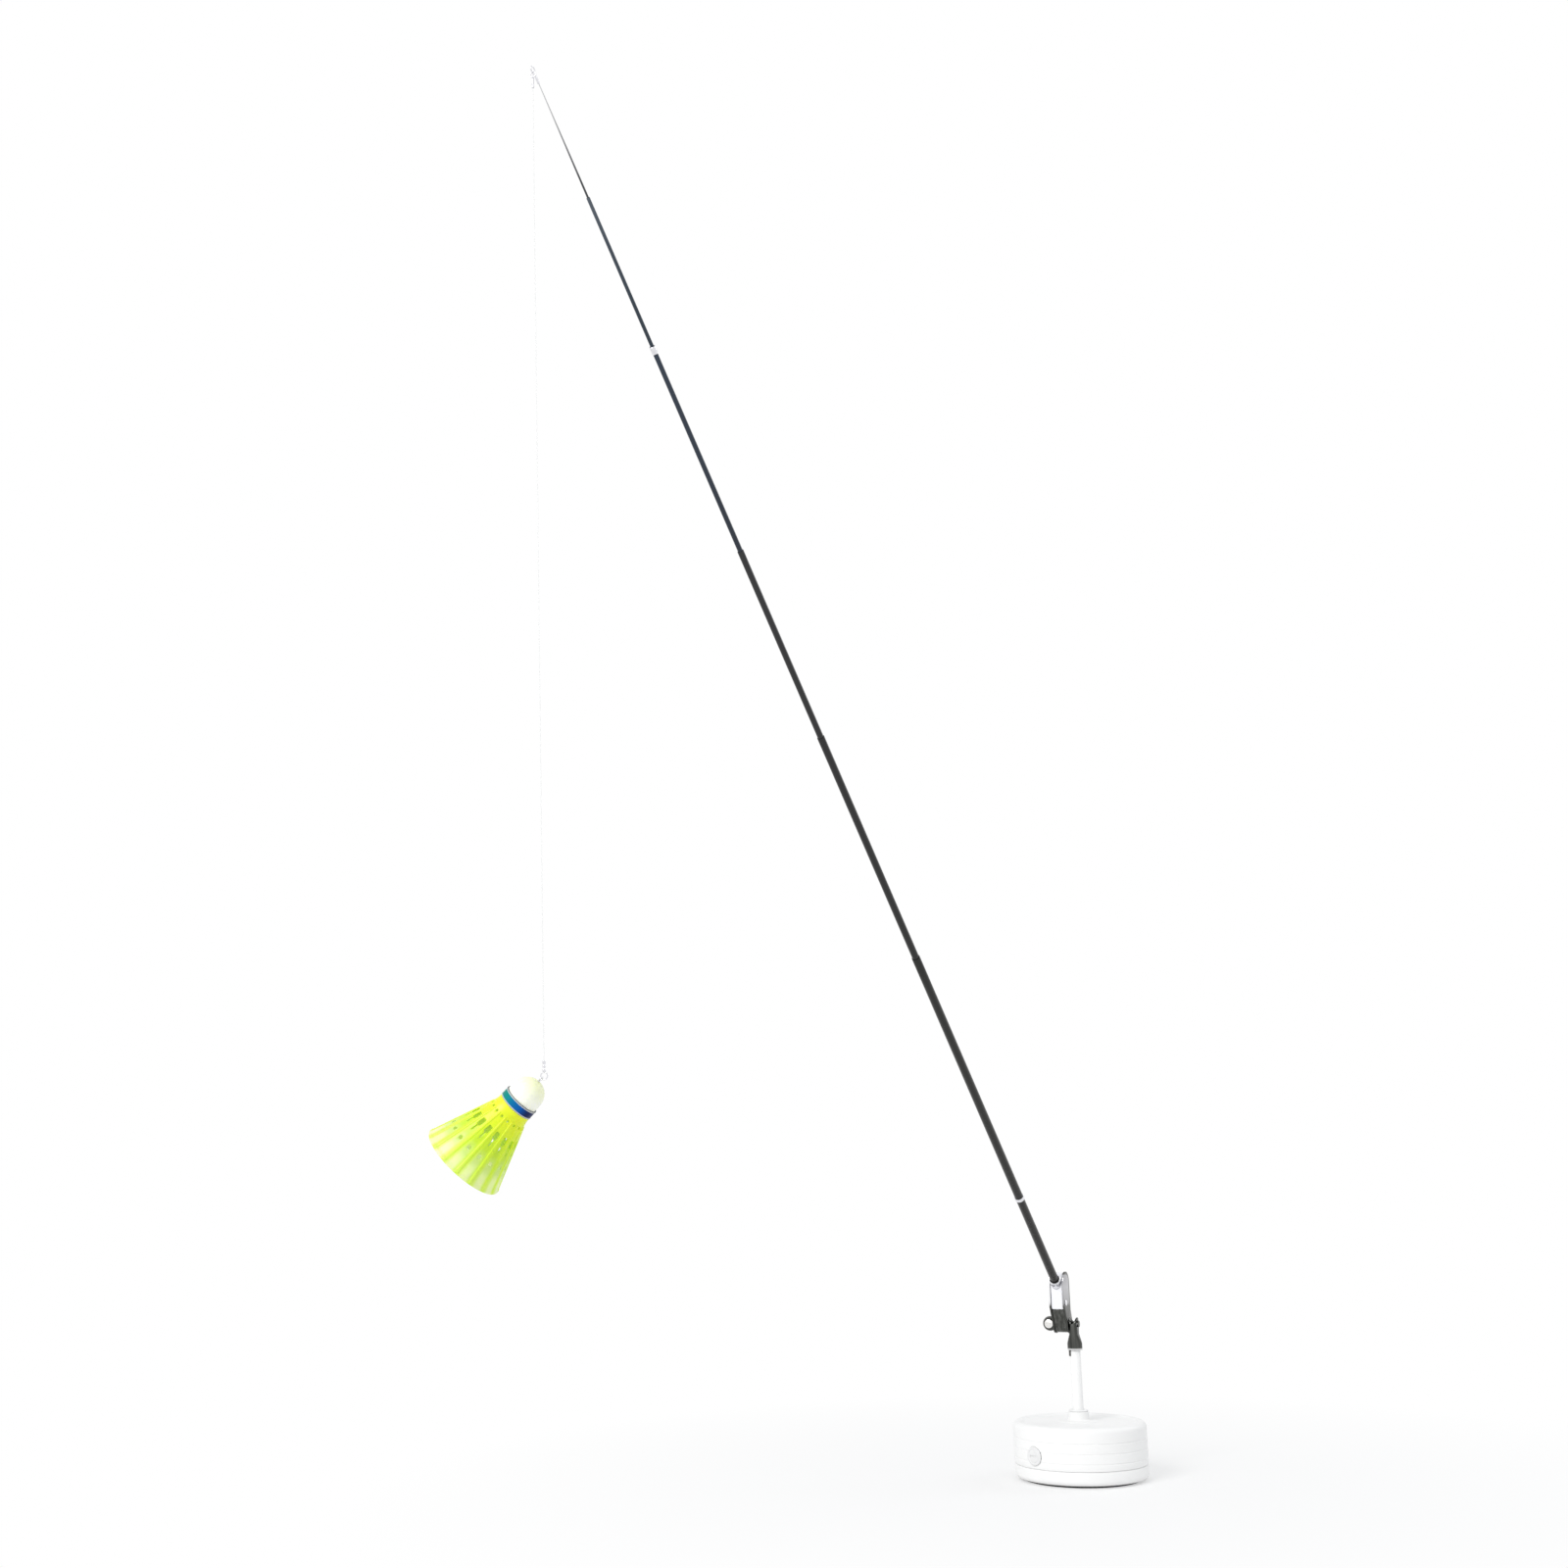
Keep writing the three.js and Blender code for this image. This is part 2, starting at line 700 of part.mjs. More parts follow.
function makeBolt() {
  const head = tongueHalfThickness + gap + washerThickness + gap - headPlace;
  const end = -headHalf - gap - washerThickness - gap - knobNeckLength - knobBoreDepth / 2;
  const shank = bar(boltRadius, end, head + overrun);
  const hexagon = new THREE.CylinderGeometry(boltHeadRadius, boltHeadRadius, boltHeadThickness, 6)
    .rotateX(Math.PI / 2)
    .translate(0, 0, head + boltHeadThickness / 2);
  const dome = revolve([
    [0, head],
    [boltHeadRadius, head],
    [boltHeadRadius, head + boltHeadThickness - boltHeadDome],
    [boltHeadRadius - boltHeadDome, head + boltHeadThickness],
    [0, head + boltHeadThickness],
  ]);
  return acrossPivot(shank.add(solidOf(hexagon).intersect(dome)));
}

const makeWasher = (low) => acrossPivot(tube(boltRadius + gap, washerRadius, low, low + washerThickness));

function makeKnob() {
  const foot = headHalf + gap + washerThickness + gap;
  const centre = foot + knobNeckLength + Math.sqrt(knobRadius ** 2 - knobNeckRadius ** 2);
  const start = Math.asin(-(centre - foot - knobNeckLength) / knobRadius);
  const end = Math.acos(knobEndRadius / knobRadius);
  const ball = revolve([
    [0, foot],
    [knobNeckRadius, foot],
    ...arc(0, centre, knobRadius, knobRadius, start, end, lineFacets),
    [0, centre + knobRadius * Math.sin(end)],
  ]);
  const hole = bar(boltRadius + gap, foot - overrun, foot + knobNeckLength + knobBoreDepth);
  const grip = solidOf(
    new THREE.BoxGeometry(2 * knobRadius, 2 * (knobRadius - knobGripCut), 4 * knobRadius).translate(
      0,
      0,
      centre,
    ),
  );
  const knob = ball.intersect(grip).subtract(hole);
  return acrossPivot(knob.rotate([THREE.MathUtils.radToDeg(Math.PI), 0, 0]));
}

// A cross rivet with a low domed head against each cheek
function makeRivet() {
  const face = headHalf + gap;
  const top = face + rivetHeadThickness;
  const shoulder = face + rivetHeadThickness / 2;
  const half = [
    [rivetRadius, face],
    [rivetHeadRadius, face],
    [rivetHeadRadius, shoulder],
    [rivetHeadRadius / 2, top],
    [0, top],
  ];
  const mirrored = half.map(([r, x]) => [r, -x]).reverse();
  return acrossPivot(revolve([...mirrored, ...half], roundFacets)).translate([0, rivetFront, rivetHeight]);
}

// Steel ferrule in the holder, on the rod's axis
function makeSocket() {
  return revolve([
    [0, socketFoot],
    [socketRadius, socketFoot],
    [socketRadius, socketMouth],
    [socketLipRadius, socketMouth],
    [socketLipRadius, socketMouth + socketLipLength],
    [rodBore, socketMouth + socketLipLength],
    [rodBore, socketFoot + socketFloor],
    [0, socketFoot + socketFloor],
  ]);
}

// Rod sections, on the socket's axis
const sectionStart = (index) => (index === 0 ? rodStart : sectionTip(index - 1) - rodSections[index].lap);

function sectionRadius(index, at) {
  const { startRadius, endRadius } = rodSections[index];
  const start = sectionStart(index);
  return startRadius + ((endRadius - startRadius) * (at - start)) / (sectionTip(index) - start);
}

function makeRodSection(index) {
  const { startRadius, endRadius, wall } = rodSections[index];
  const start = sectionStart(index);
  const tip = sectionTip(index);
  return revolve(
    [
      [startRadius - wall, start],
      [startRadius, start],
      [endRadius, tip],
      [endRadius - wall, tip],
    ],
    rodFacets,
  );
}

function makeTipSection() {
  const start = sectionTip(rodSections.length - 1) - tipSection.lap;
  return revolve(
    [
      [0, start],
      [tipSection.startRadius, start],
      [tipSection.endRadius, rodTip],
      [0, rodTip],
    ],
    rodFacets,
  );
}

function makeButtCap() {
  const { startRadius, wall } = rodSections[0];
  const plug = startRadius - wall - gap;
  return revolve(
    [
      [0, rodFoot],
      [startRadius, rodFoot],
      [startRadius, rodStart - gap],
      [plug, rodStart - gap],
      [plug, rodStart + buttPlugLength],
      [0, rodStart + buttPlugLength],
    ],
    rodFacets,
  );
}

// A band that fits a section's taper between two places.
function bandOn(index, low, length, thickness) {
  const under = sectionRadius(index, low) + slideGap;
  const over = sectionRadius(index, low + length) + slideGap;
  return revolve(
    [
      [under, low],
      [under + thickness, low],
      [over + thickness, low + length],
      [over, low + length],
    ],
    rodFacets,
  );
}

function makeTipRing() {
  const low = rodTip - tipSleeveStart;
  const high = low + tipSleeveLength;
  const bore = tipSection.endRadius + slideGap;
  const sleeve = revolve(
    [
      [0, rodTip + gap],
      [bore, rodTip + gap],
      [bore, low],
      [tipSleeveRadius, low],
      [tipSleeveRadius, high],
      [0, high],
    ],
    rodFacets,
  );
  return sleeve.add(wireRing(ringRadius, ringWire, "x").translate([0, 0, high + ringRadius]));
}

// Line fittings, with the line running down from the origin of their own frame
function makeUpperCrimp() {
  const barrel = bar(crimpRadius, -crimpDrop - crimpLength, -crimpDrop, rodFacets);
  return barrel.add(wireRing(eyeRadius, eyeWire, "x").translate([0, 0, -eyeDrop]));
}

function makeLine() {
  const top = -crimpDrop - crimpLength - gap;
  const end = new THREE.Vector3(0, 0, top - lineLength);
  const path = new THREE.LineCurve3(new THREE.Vector3(0, 0, top), end);
  const section = new THREE.Shape();
  for (let i = 0; i < lineFacets; i += 1) {
    const angle = (2 * Math.PI * i) / lineFacets;
    const point = [lineRadius * Math.cos(angle), lineRadius * Math.sin(angle)];
    if (i === 0) section.moveTo(...point);
    else section.lineTo(...point);
  }
  return solidOf(new THREE.ExtrudeGeometry(section, { steps: lineSteps, extrudePath: path }));
}

function makeLowerCrimp() {
  const low = -hangLength + linkRadius;
  const barrel = bar(crimpRadius, low, low + crimpLength, rodFacets);
  return barrel.add(wireRing(linkRadius, linkWire, "y").translate([0, 0, -hangLength]));
}

// Shuttlecock, with its axis running down from the centre of the lower crimp's ring
function makeCorkEye() {
  const stem = bar(eyeStemRadius, -corkDrop - eyeStemLength, -eyeDrop - eyeRadius, smallFacets);
  return stem.add(wireRing(eyeRadius, eyeWire, "x").translate([0, 0, -eyeDrop]));
}

function makeCork() {
  const hole = eyeStemRadius + gap;
  const body = revolve([
    [0, -corkDrop],
    ...arc(0, -corkDrop - corkDome, corkRadius, corkDome, (Math.PI * 5) / 12, 0, 5),
    [corkRadius, -corkDrop - corkShoulder],
    [corkSpigotRadius, -corkDrop - corkShoulder],
    [corkSpigotRadius, -corkDrop - corkSpigotEnd],
    [0, -corkDrop - corkSpigotEnd],
  ]);
  return body.subtract(bar(hole, -corkDrop - eyeStemLength - gap, -corkDrop + overrun, smallFacets));
}

function makeCorkBand() {
  return tube(
    corkSpigotRadius + gap + skirtCollarWall + gap,
    bandRadius,
    -corkDrop - bandEnd,
    -corkDrop - bandStart,
  );
}

// Outer radius of the skirt at a distance from the cork's top.
const skirtRadius = (at) =>
  skirtNeckRadius + ((skirtRimRadius - skirtNeckRadius) * (at - skirtNeck)) / (shuttleLength - skirtNeck);

function skirtOpening({ middle, length, neckWidth, rimWidth }, index) {
  const outline = new THREE.Shape();
  const half = length / 2;
  const neckHalf = neckWidth / 2;
  const rimHalf = rimWidth / 2;
  outline.moveTo(-neckHalf, half - neckHalf);
  outline.lineTo(-rimHalf, -half + rimHalf);
  outline.absarc(0, -half + rimHalf, rimHalf, Math.PI, 2 * Math.PI, false);
  outline.lineTo(neckHalf, half - neckHalf);
  outline.absarc(0, half - neckHalf, neckHalf, 0, Math.PI, false);
  const slope = Math.atan2(skirtRimRadius - skirtNeckRadius, shuttleLength - skirtNeck);
  const depth = 4 * skirtCollarWall;
  const cutter = new THREE.ExtrudeGeometry(outline, { depth, bevelEnabled: false, curveSegments: 3 })
    .translate(0, 0, -depth / 2)
    .rotateX(Math.PI / 2)
    .rotateZ(Math.PI / 2)
    .rotateY(-slope)
    .translate(skirtRadius(middle) - skirtWall / 2, 0, -corkDrop - middle)
    .rotateZ((2 * Math.PI * (index + 1 / 2)) / ribCount);
  return solidOf(cutter);
}

function makeSkirt() {
  const top = -corkDrop;
  const bore = corkSpigotRadius + gap;
  const collar = bore + skirtCollarWall;
  const inset = skirtWall;
  const blank = revolve(
    [
      [bore, top - corkShoulder - gap],
      [collar, top - corkShoulder - gap],
      [collar, top - skirtCollarEnd],
      [skirtNeckRadius, top - skirtNeck],
      [skirtRadius(shuttleLength - rimBeadWidth), top - shuttleLength + rimBeadWidth],
      [skirtRimRadius + rimBead, top - shuttleLength + rimBeadWidth / 2],
      [skirtRimRadius + rimBead, top - shuttleLength],
      [skirtRimRadius - inset, top - shuttleLength],
      [skirtNeckRadius - inset, top - skirtNeck],
      [bore, top - skirtCollarEnd],
    ],
    skirtFacets,
  );
  const openings = skirtRows.flatMap((row) =>
    Array.from({ length: ribCount }, (_, index) => skirtOpening(row, index)),
  );
  return openings.reduce((left, opening) => left.subtract(opening), blank);
}

// Assembly
const trainer = new THREE.Group();
trainer.name = "badminton_rebound_trainer";

place(trainer, "rubber_mat", makeMat(), blackRubber);
place(trainer, "base_tray", makeTray(), whitePlastic);
place(trainer, "base_shell", makeShell(), whitePlastic);
place(trainer, "water_fill", makeFill(), waterFill);
place(trainer, "filler_plug", makePlug(), greyPlastic);
place(trainer, "filler_gasket", makeGasket(), blackRubber);
place(trainer, "post_bush", makeBush(), whitePlastic);
place(trainer, "post_tube", makePost(), whitePaint);
place(trainer, "bracket_sleeve", makeSleeve(), darkSteel);
place(trainer, "sleeve_screw", makeSleeveScrew(), polishedSteel);

// The upper bracket's frame: the pivot at its origin
const headFrame = new THREE.Group();
headFrame.name = "head_frame";
headFrame.position.set(headPlace, 0, pivotHeight);
trainer.add(headFrame);

const washerRoom = headHalf + gap;
place(headFrame, "bracket_yoke", makeYoke(), darkSteel);
place(headFrame, "clamp_block", makeBlock(), darkSteel);
place(headFrame, "rod_holder", makeHolder(), whitePlastic);
place(headFrame, "holder_rivet", makeRivet(), polishedSteel);
place(headFrame, "pivot_bolt", makeBolt(), darkSteel);
place(headFrame, "washer_head_side", makeWasher(tongueHalfThickness + gap - headPlace), polishedSteel);
place(headFrame, "washer_knob_side", makeWasher(-washerRoom - washerThickness), polishedSteel);
place(headFrame, "pivot_knob", makeKnob(), darkSteel);

// The rod's own axis, with +Z along the rod
const leaning = new THREE.Group();
leaning.name = "leaning_frame";
leaning.rotation.x = lean;
headFrame.add(leaning);
const rodAxis = new THREE.Group();
rodAxis.name = "rod_axis";
rodAxis.position.y = socketOffset;
leaning.add(rodAxis);

place(rodAxis, "rod_socket", makeSocket(), polishedSteel);
place(rodAxis, "butt_cap", makeButtCap(), blackRubber);
place(rodAxis, "keeper_band", bandOn(0, bandPlace, bandLength, bandThickness), polishedSteel);

const rodFinishes = [charcoalRod, charcoalRod, charcoalRod, slateRod, blueGreyRod];
rodFinishes.forEach((material, index) => {
  place(rodAxis, `rod_section_${index + 1}`, makeRodSection(index), material);
});
const ringed = 3; // the section whose tip has the pale ring
const ringStart = sectionTip(ringed) - jointRingLength;
place(rodAxis, "joint_ring", bandOn(ringed, ringStart, jointRingLength, jointRingThickness), polishedSteel);
place(rodAxis, "rod_tip", makeTipSection(), paleRod);
place(rodAxis, "tip_ring", makeTipRing(), polishedSteel);

// The hanging frame: the tip ring's centre at its origin, upright, turned to the line's plane
const ringCentre = new THREE.Vector3(0, 0, rodTip - tipSleeveStart + tipSleeveLength + ringRadius);
trainer.updateMatrixWorld(true);
const hanging = new THREE.Group();
hanging.name = "hanging_frame";
hanging.position.copy(rodAxis.localToWorld(ringCentre));
hanging.rotation.z = shuttleTurn;
trainer.add(hanging);
place(hanging, "tip_link", wireRing(linkRadius, linkWire, "y").translate([0, 0, -linkDrop]), polishedSteel);

const lineFrame = new THREE.Group();
lineFrame.name = "line_frame";
lineFrame.position.z = -linkDrop;
lineFrame.rotation.y = -lineLean;
hanging.add(lineFrame);
place(lineFrame, "upper_crimp", makeUpperCrimp(), polishedSteel);
place(lineFrame, "line", makeLine(), clearLine);
place(lineFrame, "lower_crimp", makeLowerCrimp(), polishedSteel);

const shuttleFrame = new THREE.Group();
shuttleFrame.name = "shuttle_frame";
shuttleFrame.position.set(hangLength * Math.sin(lineLean), 0, -linkDrop - hangLength * Math.cos(lineLean));
shuttleFrame.rotation.y = shuttleTilt;
hanging.add(shuttleFrame);
place(shuttleFrame, "cork_eye", makeCorkEye(), polishedSteel);
place(shuttleFrame, "cork", makeCork(), corkWhite);
place(shuttleFrame, "cork_band", makeCorkBand(), bandBlue);
place(shuttleFrame, "skirt", makeSkirt(), neonNylon);

export default trainer;
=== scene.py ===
import bpy
import math
from mathutils import Matrix, Vector


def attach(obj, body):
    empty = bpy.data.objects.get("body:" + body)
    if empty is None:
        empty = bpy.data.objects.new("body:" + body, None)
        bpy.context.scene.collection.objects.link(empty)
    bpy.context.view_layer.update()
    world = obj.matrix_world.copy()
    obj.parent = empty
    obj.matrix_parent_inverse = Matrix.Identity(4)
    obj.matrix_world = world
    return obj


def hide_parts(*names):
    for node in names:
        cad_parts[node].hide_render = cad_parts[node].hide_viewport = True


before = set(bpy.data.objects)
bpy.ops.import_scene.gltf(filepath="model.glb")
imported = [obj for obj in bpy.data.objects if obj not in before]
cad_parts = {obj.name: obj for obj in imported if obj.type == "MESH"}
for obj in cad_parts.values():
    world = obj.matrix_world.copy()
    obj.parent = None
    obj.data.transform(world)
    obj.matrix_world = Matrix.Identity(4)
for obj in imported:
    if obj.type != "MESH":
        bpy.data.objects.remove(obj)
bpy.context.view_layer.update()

# Sizes are in millimetres unless a note says metres, and places are in the trainer's own frame
mm = 0.001
trainer = {
    "pivotHeight": 223,
    "headPlace": -17.3,  # the upper bracket's middle, along X
    "rodLean": math.radians(52),
    "rodSetBack": 34,
    "tipRing": 1883.2,  # its centre, up the rod
    "linkDrop": 4.6,
    "lineEnd": 902.55,  # the lower eye's centre, down the line
    "lineTurn": math.radians(11),
    "lineLean": math.radians(2.01425),
    "shuttleTilt": math.radians(46),
}


def at(x, y, z):
    return Matrix.Translation((x * mm, y * mm, z * mm))


def turn(angle, axis):
    return Matrix.Rotation(angle, 4, axis)


plain = Matrix.Identity(4)
sideways = turn(math.pi / 2, "Y")  # a turned piece's axis onto +X
forwards = turn(math.pi / 2, "X")  # and onto -Y
headFrame = at(trainer["headPlace"], 0, trainer["pivotHeight"])  # pivot at the origin, upright
rodFrame = headFrame @ turn(trainer["rodLean"], "X") @ at(0, trainer["rodSetBack"], 0)  # +Z up the rod
ringCentre = rodFrame @ Vector((0, 0, trainer["tipRing"] * mm))
lineTurn = turn(trainer["lineTurn"], "Z")
hangFrame = Matrix.Translation(ringCentre) @ lineTurn
linkFrame = hangFrame @ at(0, 0, -trainer["linkDrop"])
lineFrame = linkFrame @ turn(-trainer["lineLean"], "Y")  # the line runs down from here
lineFoot = lineFrame @ Vector((0, 0, -trainer["lineEnd"] * mm))
shuttleFrame = Matrix.Translation(lineFoot) @ lineTurn @ turn(trainer["shuttleTilt"], "Y")


# Nodes: a source is another node's output or a plain value
def feed(tree, source, socket):
    if isinstance(source, bpy.types.NodeSocket):
        tree.links.new(source, socket)
    else:
        socket.default_value = source


def node(tree, kind, inputs=None, **settings):
    made = tree.nodes.new(kind)
    for key, value in settings.items():
        setattr(made, key, value)
    for key, source in (inputs or {}).items():
        feed(tree, source, made.inputs[key])
    return made


def calculated(tree, operation, *sources):
    return node(tree, "ShaderNodeMath", dict(enumerate(sources)), operation=operation).outputs[0]


def vectorMath(tree, operation, *sources):
    made = node(tree, "ShaderNodeVectorMath", dict(enumerate(sources)), operation=operation)
    return made.outputs["Value" if operation in ("DOT_PRODUCT", "LENGTH") else "Vector"]


def mixed(tree, factor, first, second, blend="MIX"):
    sources = {"Factor": factor, "A": first, "B": second}
    return node(tree, "ShaderNodeMix", sources, data_type="RGBA", blend_type=blend).outputs["Result"]


def rgba(colour):  # three parts, or one number for a grey
    return (*colour, 1) if isinstance(colour, tuple) else (colour, colour, colour, 1)


def ramp(tree, source, stops):
    made = node(tree, "ShaderNodeValToRGB", {"Fac": source})
    line = made.color_ramp
    for index, (place, colour) in enumerate((stops[0], stops[-1])):
        line.elements[index].position = place
        line.elements[index].color = rgba(colour)
    for place, colour in stops[1:-1]:
        line.elements.new(place).color = rgba(colour)
    return made.outputs["Color"]


def objectSpot(tree):
    return node(tree, "ShaderNodeTexCoord").outputs["Object"]


def coordinates(tree):
    return node(tree, "ShaderNodeSeparateXYZ", {"Vector": objectSpot(tree)}).outputs


def noiseOn(tree, scale, detail, stretch=(1, 1, 1)):
    place = node(tree, "ShaderNodeMapping", {"Vector": objectSpot(tree), "Scale": stretch})
    facts = {"Vector": place.outputs["Vector"], "Scale": scale, "Detail": detail}
    return node(tree, "ShaderNodeTexNoise", facts).outputs["Fac"]


def ranged(tree, source, low, high, fromLow=0.0, fromHigh=1.0):
    limits = {"From Min": fromLow, "From Max": fromHigh, "To Min": low, "To Max": high}
    return node(tree, "ShaderNodeMapRange", {"Value": source, **limits}).outputs["Result"]


def rising(tree, source, limits):  # 0 to 1 between two places in millimetres
    return ranged(tree, source, 0, 1, limits[0] * mm, limits[1] * mm)


def falling(tree, source, limits):  # 1 to 0 between them
    return ranged(tree, source, 1, 0, limits[0] * mm, limits[1] * mm)


# Distance in metres along a direction of a frame, from the frame's origin
def alongAxis(tree, placeFrame, direction=(0, 0, 1)):
    axis = (placeFrame.to_3x3() @ Vector(direction)).normalized()
    away = vectorMath(tree, "SUBTRACT", objectSpot(tree), placeFrame.translation)
    return vectorMath(tree, "DOT_PRODUCT", away, axis)


# Camera, light and floor, in metres
view = {
    "place": (0.7099, -2.4673, 0.3996),
    "azimuth": math.radians(25.808),
    "pitch": math.radians(13.598),
    "roll": math.radians(-0.869),
    "lens": 36,
    "sensor": 36,
    "shift": 0.03,
    "near": 0.01,
    "far": 60,
}
studio = {
    "airLevel": 0.72,
    "airColour": (0.97, 0.985, 1),
    "floorSize": 16,
    "floorColour": 0.9,
    "glowLevel": 0.44,  # near the base, and 1 far from it
    "glowReach": (0.12, 1.1),
}
lamps = {
    "keyLamp": {
        "place": (-1.9, -8.1, 5.6),
        "target": (0, -0.5, 0.3),
        "size": 4,
        "power": 440,
        "colour": (1, 0.99, 0.98),
    },
    "rimLamp": {
        "place": (1.8, 1.6, 2.2),
        "target": (0, -0.6, 0.5),
        "size": 1.6,
        "power": 14,
        "colour": (0.95, 0.97, 1),
    },
}


def makeCamera():
    bpy.ops.object.camera_add()
    camera = bpy.context.object
    camera.name = "viewCamera"
    camera.data.lens = view["lens"]
    camera.data.sensor_width = view["sensor"]
    camera.data.shift_y = view["shift"]
    camera.data.clip_start = view["near"]
    camera.data.clip_end = view["far"]
    aim = turn(view["azimuth"], "Z") @ turn(math.pi / 2 + view["pitch"], "X") @ turn(view["roll"], "Z")
    camera.matrix_world = Matrix.Translation(view["place"]) @ aim
    bpy.context.scene.camera = camera


def raysThatSeeWhite(tree):
    path = node(tree, "ShaderNodeLightPath").outputs
    shiny = calculated(tree, "MAXIMUM", path["Is Camera Ray"], path["Is Glossy Ray"])
    return calculated(tree, "MAXIMUM", shiny, path["Is Transmission Ray"])


def makeAir():
    air = bpy.data.worlds.new("studioAir")
    bpy.context.scene.world = air
    air.use_nodes = True
    tree = air.node_tree
    tree.nodes.clear()
    light = {"Color": rgba(studio["airColour"]), "Strength": studio["airLevel"]}
    soft = node(tree, "ShaderNodeBackground", light).outputs[0]
    white = node(tree, "ShaderNodeBackground", {"Color": rgba(1)}).outputs[0]
    mix = node(tree, "ShaderNodeMixShader", {0: raysThatSeeWhite(tree), 1: soft, 2: white})
    node(tree, "ShaderNodeOutputWorld", {"Surface": mix.outputs[0]})


def makeFloor():
    bpy.ops.mesh.primitive_plane_add(size=studio["floorSize"])
    floor = bpy.context.object
    floor.name = "paleFloor"
    finish = bpy.data.materials.new("paleFloorFinish")
    finish.use_nodes = True
    tree = finish.node_tree
    tree.nodes.clear()
    matte = node(tree, "ShaderNodeBsdfDiffuse", {"Color": rgba(studio["floorColour"])}).outputs[0]
    glow = node(tree, "ShaderNodeEmission", {"Color": rgba(1)}).outputs[0]
    # the glow takes over away from the base, so that no horizon shows
    reach = vectorMath(tree, "LENGTH", objectSpot(tree))
    level = ranged(tree, reach, studio["glowLevel"], 1, *studio["glowReach"])
    seen = calculated(tree, "MULTIPLY", level, raysThatSeeWhite(tree))
    mix = node(tree, "ShaderNodeMixShader", {0: seen, 1: matte, 2: glow})
    node(tree, "ShaderNodeOutputMaterial", {"Surface": mix.outputs[0]})
    floor.data.materials.append(finish)


def makeLamp(name, facts):
    bpy.ops.object.light_add(type="AREA", location=facts["place"])
    lamp = bpy.context.object
    lamp.name = name
    lamp.data.size = facts["size"]
    lamp.data.energy = facts["power"]
    lamp.data.color = facts["colour"]
    aim = Vector(facts["target"]) - Vector(facts["place"])
    lamp.rotation_euler = aim.to_track_quat("-Z", "Y").to_euler()


def makeStudio():
    bpy.ops.object.select_all(action="DESELECT")
    makeCamera()
    makeAir()
    makeFloor()
    for name, facts in lamps.items():
        makeLamp(name, facts)
    bpy.context.scene.view_settings.view_transform = "Standard"
    print("studio made")


# Finishes
def newFinish(name, colour, roughness, metallic=0.0, more=None):
    finish = bpy.data.materials.new(name)
    finish.use_nodes = True
    shader = finish.node_tree.nodes["Principled BSDF"]
    facts = {"Base Color": rgba(colour), "Roughness": roughness, "Metallic": metallic, **(more or {})}
    for key, value in facts.items():
        shader.inputs[key].default_value = value
    return finish, finish.node_tree, shader


def paint(tree, shader, source):
    tree.links.new(source, shader.inputs["Base Color"])


def mottle(tree, shader, scale, detail, low, high):  # uneven gloss
    tree.links.new(ranged(tree, noiseOn(tree, scale, detail), low, high), shader.inputs["Roughness"])


def bumpFrom(tree, shader, source, strength, depth):
    bump = node(tree, "ShaderNodeBump", {"Height": source, "Strength": strength, "Distance": depth * mm})
    tree.links.new(bump.outputs["Normal"], shader.inputs["Normal"])


# Moulded plastic: cloudy colour, fine grain
def mouldedFinish(name, low, high, roughness, grain=900, bump=0.12):
    finish, tree, shader = newFinish(name, high, roughness)
    paint(tree, shader, ramp(tree, noiseOn(tree, scale=14, detail=4), [(0.3, low), (0.7, high)]))
    mottle(tree, shader, scale=60, detail=2, low=roughness - 0.06, high=roughness + 0.08)
    bumpFrom(tree, shader, noiseOn(tree, grain, detail=2), strength=bump, depth=0.2)
    return finish


# Polished steel: faint drawn streaks along Z and cloudy wear
def steelFinish(name, low, high, roughness, streakScale):
    finish, tree, shader = newFinish(name, high, roughness, 1.0)
    streaks = noiseOn(tree, scale=260, detail=3, stretch=(1, 1, streakScale))
    paint(tree, shader, ramp(tree, streaks, [(0.35, low), (0.65, high)]))
    mottle(tree, shader, scale=45, detail=4, low=roughness - 0.05, high=roughness + 0.09)
    bumpFrom(tree, shader, streaks, strength=0.08, depth=0.15)
    return finish


